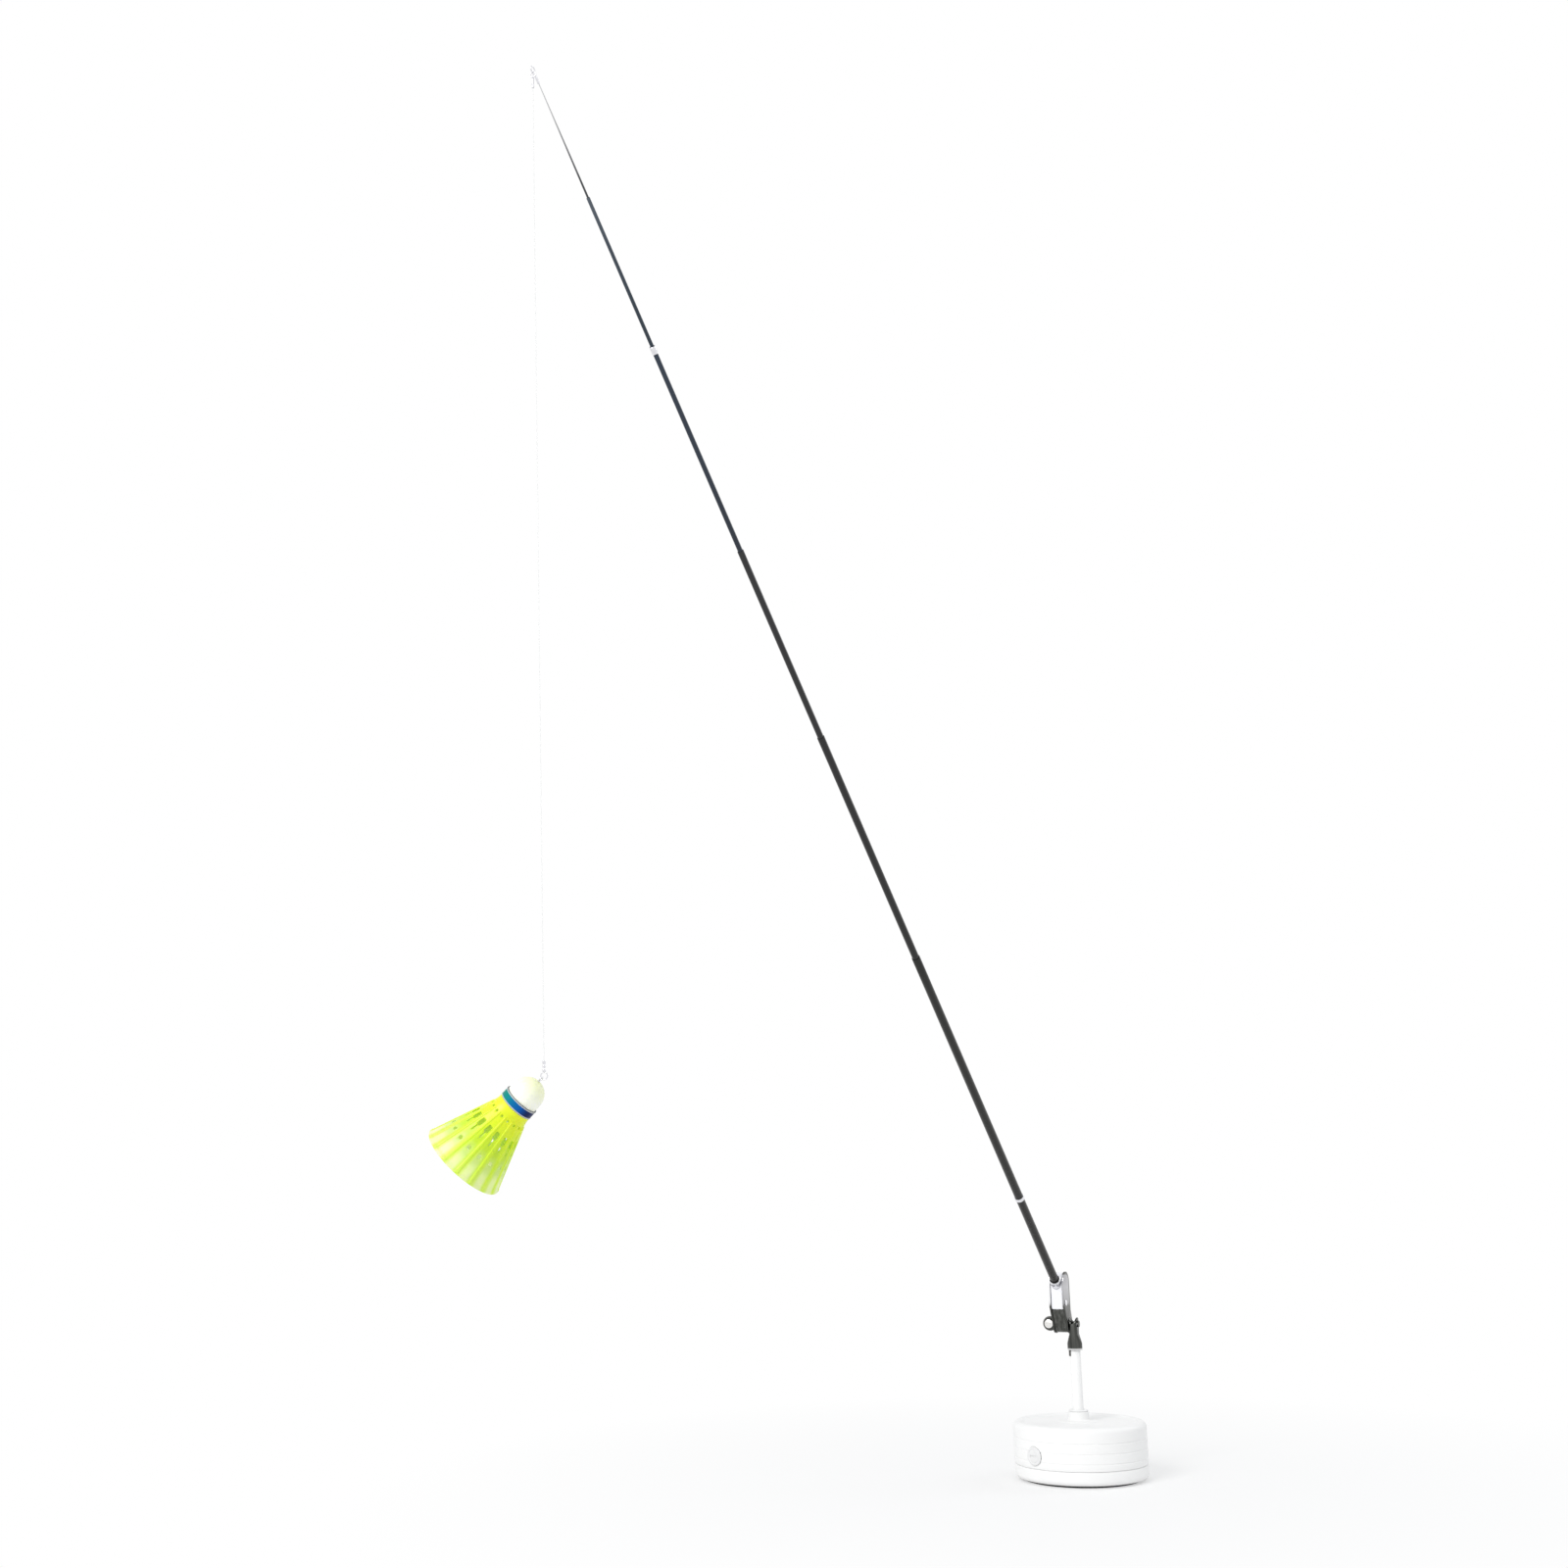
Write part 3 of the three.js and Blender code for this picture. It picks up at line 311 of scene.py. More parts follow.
# Lacquered rod: colour by the place along the rod, wrap marks and a clear coat
lacquer = {
    "cloud": [(0.3, (0.7, 0.7, 0.72)), (0.7, 1.0)],
    "cloudShare": 0.35,
    "wrapPitch": 3.5,
    "coat": {"Specular IOR Level": 0.3, "Coat Weight": 0.15, "Coat Roughness": 0.1},
}
rodLooks = {
    "rod1": {
        "name": "rodLacquerOne",
        "reach": (20, 760),
        "roughness": 0.26,
        "stops": [(0.0, (0.014, 0.013, 0.012)), (1.0, (0.011, 0.012, 0.01))],
    },
    "rod2": {
        "name": "rodLacquerTwo",
        "reach": (700, 1120),
        "roughness": 0.26,
        "stops": [(0.0, (0.011, 0.012, 0.011)), (1.0, (0.014, 0.014, 0.015))],
    },
    "rod3": {
        "name": "rodLacquerThree",
        "reach": (1070, 1375),
        "roughness": 0.26,
        "stops": [(0.0, (0.016, 0.016, 0.017)), (1.0, (0.02, 0.021, 0.023))],
    },
    "rod4": {
        "name": "rodLacquerFour",
        "reach": (1334, 1613),
        "roughness": 0.26,
        "stops": [(0.0, (0.013, 0.02, 0.033)), (1.0, (0.022, 0.036, 0.06))],
    },
    "rod5": {
        "name": "rodLacquerFive",
        "reach": (1578, 1765),
        "roughness": 0.3,
        "stops": [
            (0.0, (0.016, 0.028, 0.042)),
            (0.45, (0.024, 0.04, 0.06)),
            (0.75, (0.045, 0.062, 0.085)),
            (1.0, (0.085, 0.105, 0.13)),
        ],
    },
    "tip": {
        "name": "paleTip",
        "reach": (1735, 1880),
        "roughness": 0.35,
        "stops": [
            (0.0, (0.03, 0.036, 0.042)),
            (0.3, (0.05, 0.055, 0.06)),
            (0.5, (0.2, 0.2, 0.21)),
            (0.7, 0.5),
            (1.0, 0.78),
        ],
    },
}


def lacquerFinish(look):
    roughness, stops = look["roughness"], look["stops"]
    finish, tree, shader = newFinish(look["name"], stops[0][1], roughness, more=lacquer["coat"])
    along = alongAxis(tree, rodFrame)
    colours = ramp(tree, rising(tree, along, look["reach"]), stops)
    cloud = noiseOn(tree, scale=35, detail=4)
    shadow = ramp(tree, cloud, lacquer["cloud"])
    paint(tree, shader, mixed(tree, lacquer["cloudShare"], colours, shadow, "MULTIPLY"))
    turns = calculated(tree, "MULTIPLY", along, 2 * math.pi / (lacquer["wrapPitch"] * mm))
    bumpFrom(tree, shader, calculated(tree, "SINE", turns), strength=0.06, depth=0.1)
    gloss = ranged(tree, cloud, roughness - 0.05, roughness + 0.08)
    tree.links.new(gloss, shader.inputs["Roughness"])
    return finish


# Polished plate with painted light in its colour: a painted reflection beside the holder, painted shade
# below it and along the far cheek's edge
yokeLook = {
    "paintedLightHeights": (244, 300),
    # painted shade low on the cheeks, painted reflection higher up
    "face": [
        (0.0, (0.08, 0.082, 0.076)),
        (0.1, (0.1, 0.1, 0.095)),
        (0.2, (0.38, 0.38, 0.39)),
        (0.6, (0.52, 0.52, 0.54)),
        (1.0, (0.38, 0.38, 0.4)),
    ],
    "paintedShadeReach": (11.2, 12.5),  # from the arch's middle
    "farCheekShade": (-18, -16),
    "nearCheekHighlight": (-27.2, -26.8),
    "highlightHeights": (250, 256),
    # a painted highlight on the near cheek, and painted shade along the far cheek's edge
    "paintedHighlight": (0.94, 0.94, 0.95, 1),
    "dark": (0.1, 0.1, 0.095, 1),
}


def yokeFinish():
    look = yokeLook
    finish, tree, shader = newFinish("polishedYoke", 0.3, 0.22, 1.0)
    x, y, z = coordinates(tree)
    # painted shade low on the cheeks, painted reflection higher up
    face = ramp(tree, rising(tree, z, look["paintedLightHeights"]), look["face"])
    archHeight = (trainer["pivotHeight"] + head["archHeight"]) * mm
    back = calculated(tree, "MAXIMUM", calculated(tree, "SUBTRACT", y, head["archMiddle"] * mm), 0)
    over = calculated(tree, "MAXIMUM", calculated(tree, "SUBTRACT", z, archHeight), 0)
    away = node(tree, "ShaderNodeCombineXYZ", {"Y": back, "Z": over}).outputs[0]
    # mask for the painted shade along the far cheek's edge
    edge = rising(tree, vectorMath(tree, "LENGTH", away), look["paintedShadeReach"])
    # mask for the painted highlight on the near cheek
    near = falling(tree, x, look["nearCheekHighlight"])
    bright = calculated(tree, "MULTIPLY", near, rising(tree, z, look["highlightHeights"]))
    withPaintedHighlight = mixed(tree, bright, face, look["paintedHighlight"])
    dark = calculated(tree, "MULTIPLY", edge, rising(tree, x, look["farCheekShade"]))
    paint(tree, shader, mixed(tree, dark, withPaintedHighlight, look["dark"]))
    mottle(tree, shader, scale=70, detail=4, low=0.16, high=0.32)
    return finish


# Dark polished tube: broad drawn streaks, a painted highlight as a bright rim at its foot, and a dark tab
# below it
sleeveLook = {
    "streaks": [
        (0.36, (0.035, 0.037, 0.034)),
        (0.52, (0.07, 0.072, 0.067)),
        (0.66, (0.12, 0.122, 0.115)),
    ],
    # a painted highlight along the rim at the tube's foot
    "rimHighlightHeights": (186.8, 187.8),
    "rim": (0.66, 0.66, 0.66, 1),
    "tabHeights": (184.8, 185.3),
    "tab": (0.09, 0.09, 0.086, 1),
}


def sleeveFinish():
    look = sleeveLook
    finish, tree, shader = newFinish("polishedSleeve", 0.1, 0.2, 1.0)
    streaks = noiseOn(tree, scale=150, detail=2, stretch=(1, 1, 0.04))
    face = ramp(tree, streaks, look["streaks"])
    x, y, z = coordinates(tree)
    # painted highlight along the rim at the tube's foot
    withRimHighlight = mixed(tree, falling(tree, z, look["rimHighlightHeights"]), face, look["rim"])
    paint(tree, shader, mixed(tree, falling(tree, z, look["tabHeights"]), withRimHighlight, look["tab"]))
    mottle(tree, shader, scale=60, detail=4, low=0.14, high=0.28)
    bumpFrom(tree, shader, streaks, strength=0.08, depth=0.15)
    return finish


# Dark polished knob with bright finger flats, which are a painted highlight
knobLook = {
    "flatReach": (8.8, 8.95),
    # painted highlight on the finger flats
    "ground": [(0.3, (0.75, 0.74, 0.72)), (0.7, (0.92, 0.91, 0.89))],
    "body": [(0.3, (0.06, 0.06, 0.056)), (0.7, (0.1, 0.1, 0.095))],
}


def knobFinish():
    look = knobLook
    finish, tree, shader = newFinish("polishedKnob", 0.1, 0.2, 1.0)
    x, y, z = coordinates(tree)
    # the finger flats, painted bright as a painted highlight
    flats = rising(tree, calculated(tree, "ABSOLUTE", y), look["flatReach"])
    ground = ramp(tree, noiseOn(tree, scale=320, detail=3), look["ground"])
    body = ramp(tree, noiseOn(tree, scale=90, detail=3), look["body"])
    paint(tree, shader, mixed(tree, flats, body, ground))
    mottle(tree, shader, scale=60, detail=4, low=0.16, high=0.3)
    return finish


# Glossy foil round the cork: green to blue, with silver lines near its dark edges; its fall to navy on one
# side is painted shade
bandLook = {
    "across": (-14.5, 14.5),
    # the foil's own green to blue, and painted shade to navy on one side
    "foilAndShade": [
        (0.0, (0.0, 0.2, 0.15)),
        (0.3, (0.0, 0.24, 0.22)),
        (0.55, (0.0, 0.15, 0.36)),
        (0.8, (0.0, 0.09, 0.4)),
        (0.95, (0.0, 0.01, 0.08)),
        (1.0, (0.0, 0.01, 0.08)),
    ],
    "along": (-32.2, -24.5),
    "edgeShares": [(0.0, 1), (0.14, 1), (0.19, 0), (0.81, 0), (0.86, 1), (1.0, 1)],
    "edges": [
        (0.0, (0.2, 0.21, 0.21)),
        (0.07, (0.22, 0.23, 0.23)),
        (0.12, (0.66, 0.68, 0.68)),
        (0.88, (0.66, 0.68, 0.68)),
        (0.93, (0.22, 0.23, 0.23)),
        (1.0, (0.2, 0.21, 0.21)),
    ],
    "coat": {"Specular IOR Level": 0.1, "Coat Weight": 0.03, "Coat Roughness": 0.05},
}


def bandFinish():
    look = bandLook
    finish, tree, shader = newFinish("bandFoil", (0, 0.2, 0.35), 0.35, more=look["coat"])
    side = alongAxis(tree, shuttleFrame, (1, 0, 0))
    # the foil's own green to blue, and painted shade to navy on one side
    foilAndShade = ramp(tree, rising(tree, side, look["across"]), look["foilAndShade"])
    share = rising(tree, alongAxis(tree, shuttleFrame), look["along"])
    edges = ramp(tree, share, look["edges"])
    paint(tree, shader, mixed(tree, ramp(tree, share, look["edgeShares"]), foilAndShade, edges))
    mottle(tree, shader, scale=120, detail=2, low=0.26, high=0.42)
    return finish


# Off-white covered foam: fine leather grain, yellower towards the dome's top
corkLook = {
    "along": (-27, -6.1),
    "cover": [
        (0.0, (0.95, 0.97, 0.84)),
        (0.35, (0.97, 0.985, 0.86)),
        (0.7, (0.96, 0.99, 0.74)),
        (1.0, (0.93, 0.98, 0.6)),
    ],
    "glow": {"Subsurface Weight": 0.15, "Subsurface Radius": (0.004, 0.004, 0.002)},
}


def corkFinish():
    look = corkLook
    finish, tree, shader = newFinish("corkCover", (0.95, 0.96, 0.86), 0.5, more=look["glow"])
    share = rising(tree, alongAxis(tree, shuttleFrame), look["along"])
    paint(tree, shader, ramp(tree, share, look["cover"]))
    bumpFrom(tree, shader, noiseOn(tree, scale=1400, detail=4), strength=0.25, depth=0.2)
    return finish


# Neon nylon: brighter and paler towards the rim, with flow marks along the ribs, painted shade on the
# panels beside the openings and painted shade on the skirt's inside. Shares run from the rim to the cork
nylonLook = {
    "along": (-91, -30),
    "body": [
        (0.0, (0.72, 0.93, 0.12)),
        (0.12, (0.7, 0.92, 0.08)),
        (0.3, (0.66, 0.9, 0.03)),
        (0.6, (0.68, 0.88, 0.008)),
        (1.0, (0.84, 0.88, 0.004)),
    ],
    "paleShares": [(0.08, 1), (0.3, 0.6), (0.42, 0)],
    "pale": (0.86, 0.98, 0.42, 1),
    # painted shade on the panels beside the openings
    "shadedPanelShares": [(0.16, 0), (0.24, 0.32), (0.5, 0.32), (0.58, 0)],  # darker beside the openings
    "shadedPanel": (0.32, 0.56, 0.02, 1),
    "flow": [(0.3, (0.86, 0.92, 0.8)), (0.65, 1)],
    "flowShare": 0.5,
    # painted shade on the skirt's inside
    "inside": (0.5, 0.66, 0.4, 1),
    "insideShadeReach": (0.35, 0.7),  # inside the line from neck to rim
    "panelWave": (-0.6, 0.7),  # of the cosine from rib to rib
    "glow": {"Subsurface Weight": 0.25, "Subsurface Radius": (0.004, 0.005, 0.0006)},
}


# 1 well inside the line from neck to rim, as on the collar's inner face, and 0 outside it
def depthInSkirt(tree, along, sides):
    s = shuttle
    neck, rim = (-(s["corkDrop"] + s[end]) * mm for end in ("neck", "length"))
    outer = ranged(tree, along, s["neckRadius"] * mm, s["rimRadius"] * mm, neck, rim)
    across = node(tree, "ShaderNodeCombineXYZ", {"X": sides[0], "Y": sides[1]}).outputs[0]
    below = calculated(tree, "SUBTRACT", outer, vectorMath(tree, "LENGTH", across))
    return rising(tree, below, nylonLook["insideShadeReach"])


# 0 on a rib of the skirt and 1 midway between two
def betweenRibs(tree, sides):
    angle = calculated(tree, "ARCTAN2", sides[1], sides[0])
    wave = calculated(tree, "COSINE", calculated(tree, "MULTIPLY", angle, shuttle["ribs"]))
    return ranged(tree, wave, 1, 0, *nylonLook["panelWave"])


def nylonFinish():
    look = nylonLook
    finish, tree, shader = newFinish("neonNylon", (0.8, 0.95, 0.03), 0.38, more=look["glow"])
    along = alongAxis(tree, shuttleFrame)
    sides = [alongAxis(tree, shuttleFrame, direction) for direction in ((1, 0, 0), (0, 1, 0))]
    share = rising(tree, along, look["along"])
    between = betweenRibs(tree, sides)
    colour = ramp(tree, share, look["body"])
    # paler panels near the rim, and painted shade on the panels beside the openings
    for part in ("pale", "shadedPanel"):
        panel = calculated(tree, "MULTIPLY", between, ramp(tree, share, look[part + "Shares"]))
        colour = mixed(tree, panel, colour, look[part])
    flow = noiseOn(tree, scale=90, detail=3)
    colour = mixed(tree, look["flowShare"], colour, ramp(tree, flow, look["flow"]), "MULTIPLY")
    # painted shade on the skirt's inside
    paint(tree, shader, mixed(tree, depthInSkirt(tree, along, sides), colour, look["inside"], "MULTIPLY"))
    tree.links.new(ranged(tree, flow, 0.3, 0.46), shader.inputs["Roughness"])
    bumpFrom(tree, shader, noiseOn(tree, scale=700, detail=2), strength=0.1, depth=0.2)
    return finish


def lineFinish():
    clear = {"Transmission Weight": 0.85, "IOR": 1.4}
    finish, tree, shader = newFinish("clearNylonLine", (0.96, 0.97, 0.97), 0.12, more=clear)
    mottle(tree, shader, scale=200, detail=2, low=0.08, high=0.2)
    return finish


def waterFinish():
    finish, tree, shader = newFinish("tankWater", (0.75, 0.85, 0.88), 0.1, more={"IOR": 1.33})
    mottle(tree, shader, scale=8, detail=2, low=0.05, high=0.16)
    return finish


def rubberFinish():
    finish, tree, shader = newFinish("plainRubber", 0.02, 0.8)
    paint(tree, shader, ramp(tree, noiseOn(tree, scale=30, detail=3), [(0.3, 0.014), (0.7, 0.03)]))
    bumpFrom(tree, shader, noiseOn(tree, scale=1200, detail=3), strength=0.3, depth=0.2)
    return finish


def makeFinishes():
    white = (0.9, 0.9, 0.895)
    holderWhite = ((0.86, 0.86, 0.9), (0.92, 0.92, 0.95))
    paintWhite = ((0.89, 0.89, 0.885), (0.92, 0.92, 0.915))
    darkSteel = ((0.06, 0.062, 0.056), (0.12, 0.122, 0.114))
    brightSteel = ((0.72, 0.72, 0.75), (0.82, 0.82, 0.85))
    made = {
        "tank": mouldedFinish("whiteTank", (0.87, 0.87, 0.865), white, roughness=0.42),
        "cap": mouldedFinish("greyCap", 0.75, 0.81, roughness=0.5),
        "bush": mouldedFinish("whiteBush", 0.86, white, roughness=0.4, grain=1200, bump=0.08),
        "holder": mouldedFinish("whiteHolder", *holderWhite, roughness=0.22, grain=1200, bump=0.06),
        "paint": mouldedFinish("whitePowderCoat", *paintWhite, roughness=0.35, grain=1800, bump=0.15),
        "rubber": rubberFinish(),
        "dark": steelFinish("darkSteel", *darkSteel, roughness=0.2, streakScale=0.08),
        "yoke": yokeFinish(),
        "sleeve": sleeveFinish(),
        "knob": knobFinish(),
        "bright": steelFinish("brightSteel", *brightSteel, roughness=0.14, streakScale=0.1),
        "line": lineFinish(),
        "water": waterFinish(),
        "cork": corkFinish(),
        "band": bandFinish(),
        "nylon": nylonFinish(),
    }
    for name, look in rodLooks.items():
        made[name] = lacquerFinish(look)
    print("finishes made")
    return made


# Modelling helpers
mergeNear = 0.004
meltNear = 0.002
outlineMergeNear = 0.01
smoothBelow = {"tank": 28, "plate": 30, "turned": 35, "wire": 40, "link": 60}  # degrees between faces


def startEdit(selectMode="VERT"):
    bpy.ops.object.mode_set(mode="EDIT")
    bpy.ops.mesh.select_mode(type=selectMode)


def endEdit():
    bpy.ops.object.mode_set(mode="OBJECT")


def endEditFacingOut():
    bpy.ops.mesh.select_all(action="SELECT")
    bpy.ops.mesh.normals_make_consistent(inside=False)
    endEdit()


# Selects the faces whose middle passes the test, from edit mode
def pick(piece, test):
    endEdit()
    for group in (piece.data.vertices, piece.data.edges, piece.data.polygons):
        for part in group:
            part.select = False
    for face in piece.data.polygons:
        face.select = test(face.center, face.normal)
    startEdit("FACE")


def selectAlone(piece):
    bpy.ops.object.select_all(action="DESELECT")
    piece.select_set(True)
    bpy.context.view_layer.objects.active = piece


def primitive(add, name, **sizes):
    bpy.ops.object.select_all(action="DESELECT")
    add(**sizes)
    piece = bpy.context.object
    piece.name = piece.data.name = name
    return piece


def applied(piece, kind, **settings):
    modifier = piece.modifiers.new(kind.title(), kind)
    for key, value in settings.items():
        setattr(modifier, key, value)
    selectAlone(piece)
    bpy.ops.object.modifier_apply(modifier=modifier.name)


# Rounded edges: width, segments and the least angle that counts as an edge
def softEdges(piece, width, segments, angle):
    limit = {"limit_method": "ANGLE", "angle_limit": math.radians(angle), "use_clamp_overlap": True}
    applied(piece, "BEVEL", width=width * mm, segments=segments, **limit)


# Puts a piece in its place, with the place in the mesh
def placed(piece, place):
    selectAlone(piece)
    piece.matrix_world = place
    bpy.ops.object.transform_apply(location=True, rotation=True, scale=True)
    return piece


def settle(piece, place, kind):
    placed(piece, place)
    bpy.ops.object.shade_smooth_by_angle(angle=math.radians(smoothBelow[kind]))


def finished(piece, finish, body, cadNode):
    piece.data.materials.clear()
    piece.data.materials.append(finish)
    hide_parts(cadNode)
    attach(piece, body)


# An outline drawn with extrudes from its first point on, left selected in edit mode
def drawn(name, points):
    piece = primitive(bpy.ops.mesh.primitive_plane_add, name, size=mm)
    startEdit()
    bpy.ops.mesh.select_all(action="SELECT")
    bpy.ops.mesh.merge(type="CENTER")
    bpy.ops.transform.translate(value=tuple(part * mm for part in points[0]))
    for start, end in zip(points, points[1:]):
        step = tuple((b - a) * mm for a, b in zip(start, end))
        bpy.ops.mesh.extrude_region_move(TRANSFORM_OT_translate={"value": step})
    bpy.ops.mesh.select_all(action="SELECT")
    return piece


# A profile of (radius, height) points spun round Z
def turned(name, profile, steps):
    piece = drawn(name, [(radius, 0, height) for radius, height in profile])
    bpy.ops.mesh.spin(steps=steps, angle=2 * math.pi, center=(0, 0, 0), axis=(0, 0, 1))
    bpy.ops.mesh.select_all(action="SELECT")
    bpy.ops.mesh.remove_doubles(threshold=mergeNear * mm)
    bpy.ops.mesh.dissolve_degenerate(threshold=meltNear * mm)
    endEditFacingOut()
    return piece


# An outline in Y and Z, closed and pulled out along X
def slabPiece(name, points, low, high):
    piece = drawn(name, [(low, y, z) for y, z in points])
    bpy.ops.mesh.remove_doubles(threshold=outlineMergeNear * mm)
    bpy.ops.mesh.select_all(action="SELECT")
    bpy.ops.mesh.edge_face_add()
    bpy.ops.mesh.extrude_region_move(TRANSFORM_OT_translate={"value": ((high - low) * mm, 0, 0)})
    endEditFacingOut()
    return piece


# A thin tube round Z: a circle pulled through heights, with a radius at each
def ringTube(name, columns, heights, radii):
    circle = bpy.ops.mesh.primitive_circle_add
    piece = primitive(circle, name, vertices=columns, radius=radii[0] * mm)
    startEdit()
    bpy.ops.mesh.select_all(action="SELECT")
    bpy.ops.transform.translate(value=(0, 0, heights[0] * mm))
    for step in range(1, len(heights)):
        rise = (heights[step] - heights[step - 1]) * mm
        bpy.ops.mesh.extrude_region_move(TRANSFORM_OT_translate={"value": (0, 0, rise)})
        grow = radii[step] / radii[step - 1]
        bpy.ops.transform.resize(value=(grow, grow, 1), center_override=(0, 0, 0))
    endEditFacingOut()
    return piece


def curveOf(centreR, centreZ, radiusR, radiusZ, start, end, steps):  # its angles in degrees
    points = []
    for step in range(steps + 1):
        angle = math.radians(start + (end - start) * step / steps)
        points.append((centreR + radiusR * math.cos(angle), centreZ + radiusZ * math.sin(angle)))
    return points


def shifted(points, out, up):
    return [(radius + out, height + up) for radius, height in points]


# A bent wire ring whose two ends meet, with a fine parting of some degrees at the joint
def wireLoop(name, major, minor, parting):
    sizes = {"major_radius": major * mm, "minor_radius": minor * mm}
    counts = {"major_segments": 60, "minor_segments": 14}
    piece = primitive(bpy.ops.mesh.primitive_torus_add, name, **sizes, **counts)
    startEdit("FACE")
    pick(piece, lambda c, n: c.x > 0 and abs(math.degrees(math.atan2(c.y, c.x))) < parting / 2)
    bpy.ops.mesh.delete(type="FACE")
    bpy.ops.mesh.select_mode(type="EDGE")
    bpy.ops.mesh.select_all(action="DESELECT")
    bpy.ops.mesh.select_non_manifold()
    bpy.ops.mesh.edge_face_add()
    endEditFacingOut()
    return piece


def box(low, high):
    piece = primitive(bpy.ops.mesh.primitive_cube_add, "boxCutter", size=1)
    size = [(b - a) * mm for a, b in zip(low, high)]
    middle = [(a + b) / 2 * mm for a, b in zip(low, high)]
    return placed(piece, Matrix.Translation(middle) @ Matrix.Diagonal((*size, 1)))


def cut(piece, cutter, operation="DIFFERENCE"):
    applied(piece, "BOOLEAN", object=cutter, operation=operation, solver="EXACT")
    bpy.data.objects.remove(cutter, do_unlink=True)


# A round hole along the Z of a place
def bore(piece, radius, low, high, place, steps):
    pin = turned("roundCutter", [(0, low), (radius, low), (radius, high), (0, high)], steps)
    cut(piece, placed(pin, place))


# Joins a wire eye to a piece, its centre on the piece's axis
def addEye(piece, eye, facing):
    loop = wireLoop("wireEye", eye["major"], eye["minor"], eye["parting"])
    cut(piece, placed(loop, at(0, 0, eye["height"]) @ facing), "UNION")


# Line, made first because it is the cord
lineFacts = {"top": -14.45, "length": 876, "radius": 0.3, "points": 25, "roundness": 3}


def makeLine(finishes):
    facts = lineFacts
    low = facts["top"] - facts["length"]
    points = [
        lineFrame @ Vector((0, 0, (facts["top"] + (low - facts["top"]) * i / (facts["points"] - 1)) * mm))
        for i in range(facts["points"])
    ]
    curve = bpy.data.curves.new("playLine", "CURVE")
    curve.dimensions = "3D"
    spline = curve.splines.new("POLY")
    spline.points.add(len(points) - 1)
    for point, place in zip(spline.points, points):
        point.co = (*place, 1)
    curve.bevel_depth = facts["radius"] * mm
    curve.bevel_resolution = facts["roundness"]
    curve.use_fill_caps = True
    line = bpy.data.objects.new("playLine", curve)
    bpy.context.scene.collection.objects.link(line)
    line.data.materials.append(finishes["line"])
    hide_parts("line")
    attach(line, "hanging_line")
    print("line made")


# Base: outlines are radius and height
base = {
    "radius": 100,
    "height": 83,
    "shoulder": 8,
    "grooves": (33, 47, 61),  # heights of their middles
    "grooveDepth": 0.72,
    "grooveHeight": 2.4,
    "grooveFloor": 0.96,
    "seam": [(97, 23.3), (98.7, 23.3), (99.6, 23.8), (100, 24.8)],
    "dish": [
        (88.5, 83),
        (86.4, 82.8),
        (84.8, 82),
        (83.2, 81.2),
        (81.5, 81),
        (60, 80.75),
        (33, 81),
        (30, 81.2),
        (28.6, 82),
        (27.4, 82.8),
        (26, 83),
    ],
    "collar": [
        (20, 83),
        (17.6, 83.5),
        (16.1, 84.9),
        (15.5, 87),
        (15.5, 94.6),
        (14.9, 95.7),
        (13.8, 96),
        (10.8, 96),
    ],
    "inside": [(10.8, 6.8), (13.8, 6.8), (13.8, 78), (89, 78), (97, 70), (97, 23.3)],
    "capAngle": math.radians(-117),
    "capHeight": 41,
    "capSeat": (13.85, 97.4, 102),  # radius, and its reach from the axis
    "capBore": (9, 80, 101),
    "steps": 160,
}
tray = {
    "foot": 3.5,
    "edge": 7,
    "footRadius": 60,
    "lip": [(100, 21.2), (99.6, 22.4), (98.7, 23), (96.7, 23), (96.7, 31), (94.3, 31)],
    "floorTop": 6.5,
    "ring": [(16.6, 0), (16.6, 8), (14.1, 8), (14.1, 0)],  # from the floor's top
    "spigot": [(6.2, 0), (6.2, 12), (0, 12)],
}
mat = {
    "radius": 87,
    "top": 3.2,
    "channels": (28, 42, 56, 70),  # shallow grip channels in the underside
    "channel": [(-2, 0), (-1.2, 0.5), (1.2, 0.5), (2, 0)],
    "lowEdge": [(-1.2, 0), (-0.3, 0.4), (0, 1.1)],  # from the radius
    "topEdge": [(0, -0.6), (-0.6, 0)],  # from the radius and the top
}
fillerFrame = at(0, 0, base["capHeight"]) @ turn(base["capAngle"], "Z") @ sideways


def makeShell(finishes):
    b = base
    r, bend = b["radius"], b["shoulder"]
    profile = list(b["seam"])
    half, floor = b["grooveHeight"] / 2, b["grooveFloor"] / 2
    for middle in b["grooves"]:
        deep = r - b["grooveDepth"]
        profile += [(r, middle - half), (deep, middle - floor), (deep, middle + floor), (r, middle + half)]
    profile += curveOf(r - bend, b["height"] - bend, bend, bend, 0, 90, steps=10)
    shell = turned("tankShell", profile + b["dish"] + b["collar"] + b["inside"], b["steps"])
    bore(shell, *b["capSeat"], fillerFrame, steps=64)
    bore(shell, *b["capBore"], fillerFrame, steps=48)
    settle(shell, plain, "tank")
    finished(shell, finishes["tank"], "base", "base_shell")


def makeTray(finishes):
    foot, bend, floor = tray["foot"], tray["edge"], tray["floorTop"]
    profile = [(0, foot), (tray["footRadius"], foot)]
    profile += curveOf(base["radius"] - bend, foot + bend, bend, bend, -90, 0, steps=8)
    profile += tray["lip"] + [(tray["lip"][-1][0], floor)]
    profile += shifted(tray["ring"] + tray["spigot"], 0, floor)
    piece = turned("tankTray", profile, base["steps"])
    settle(piece, plain, "tank")
    finished(piece, finishes["tank"], "base", "base_tray")


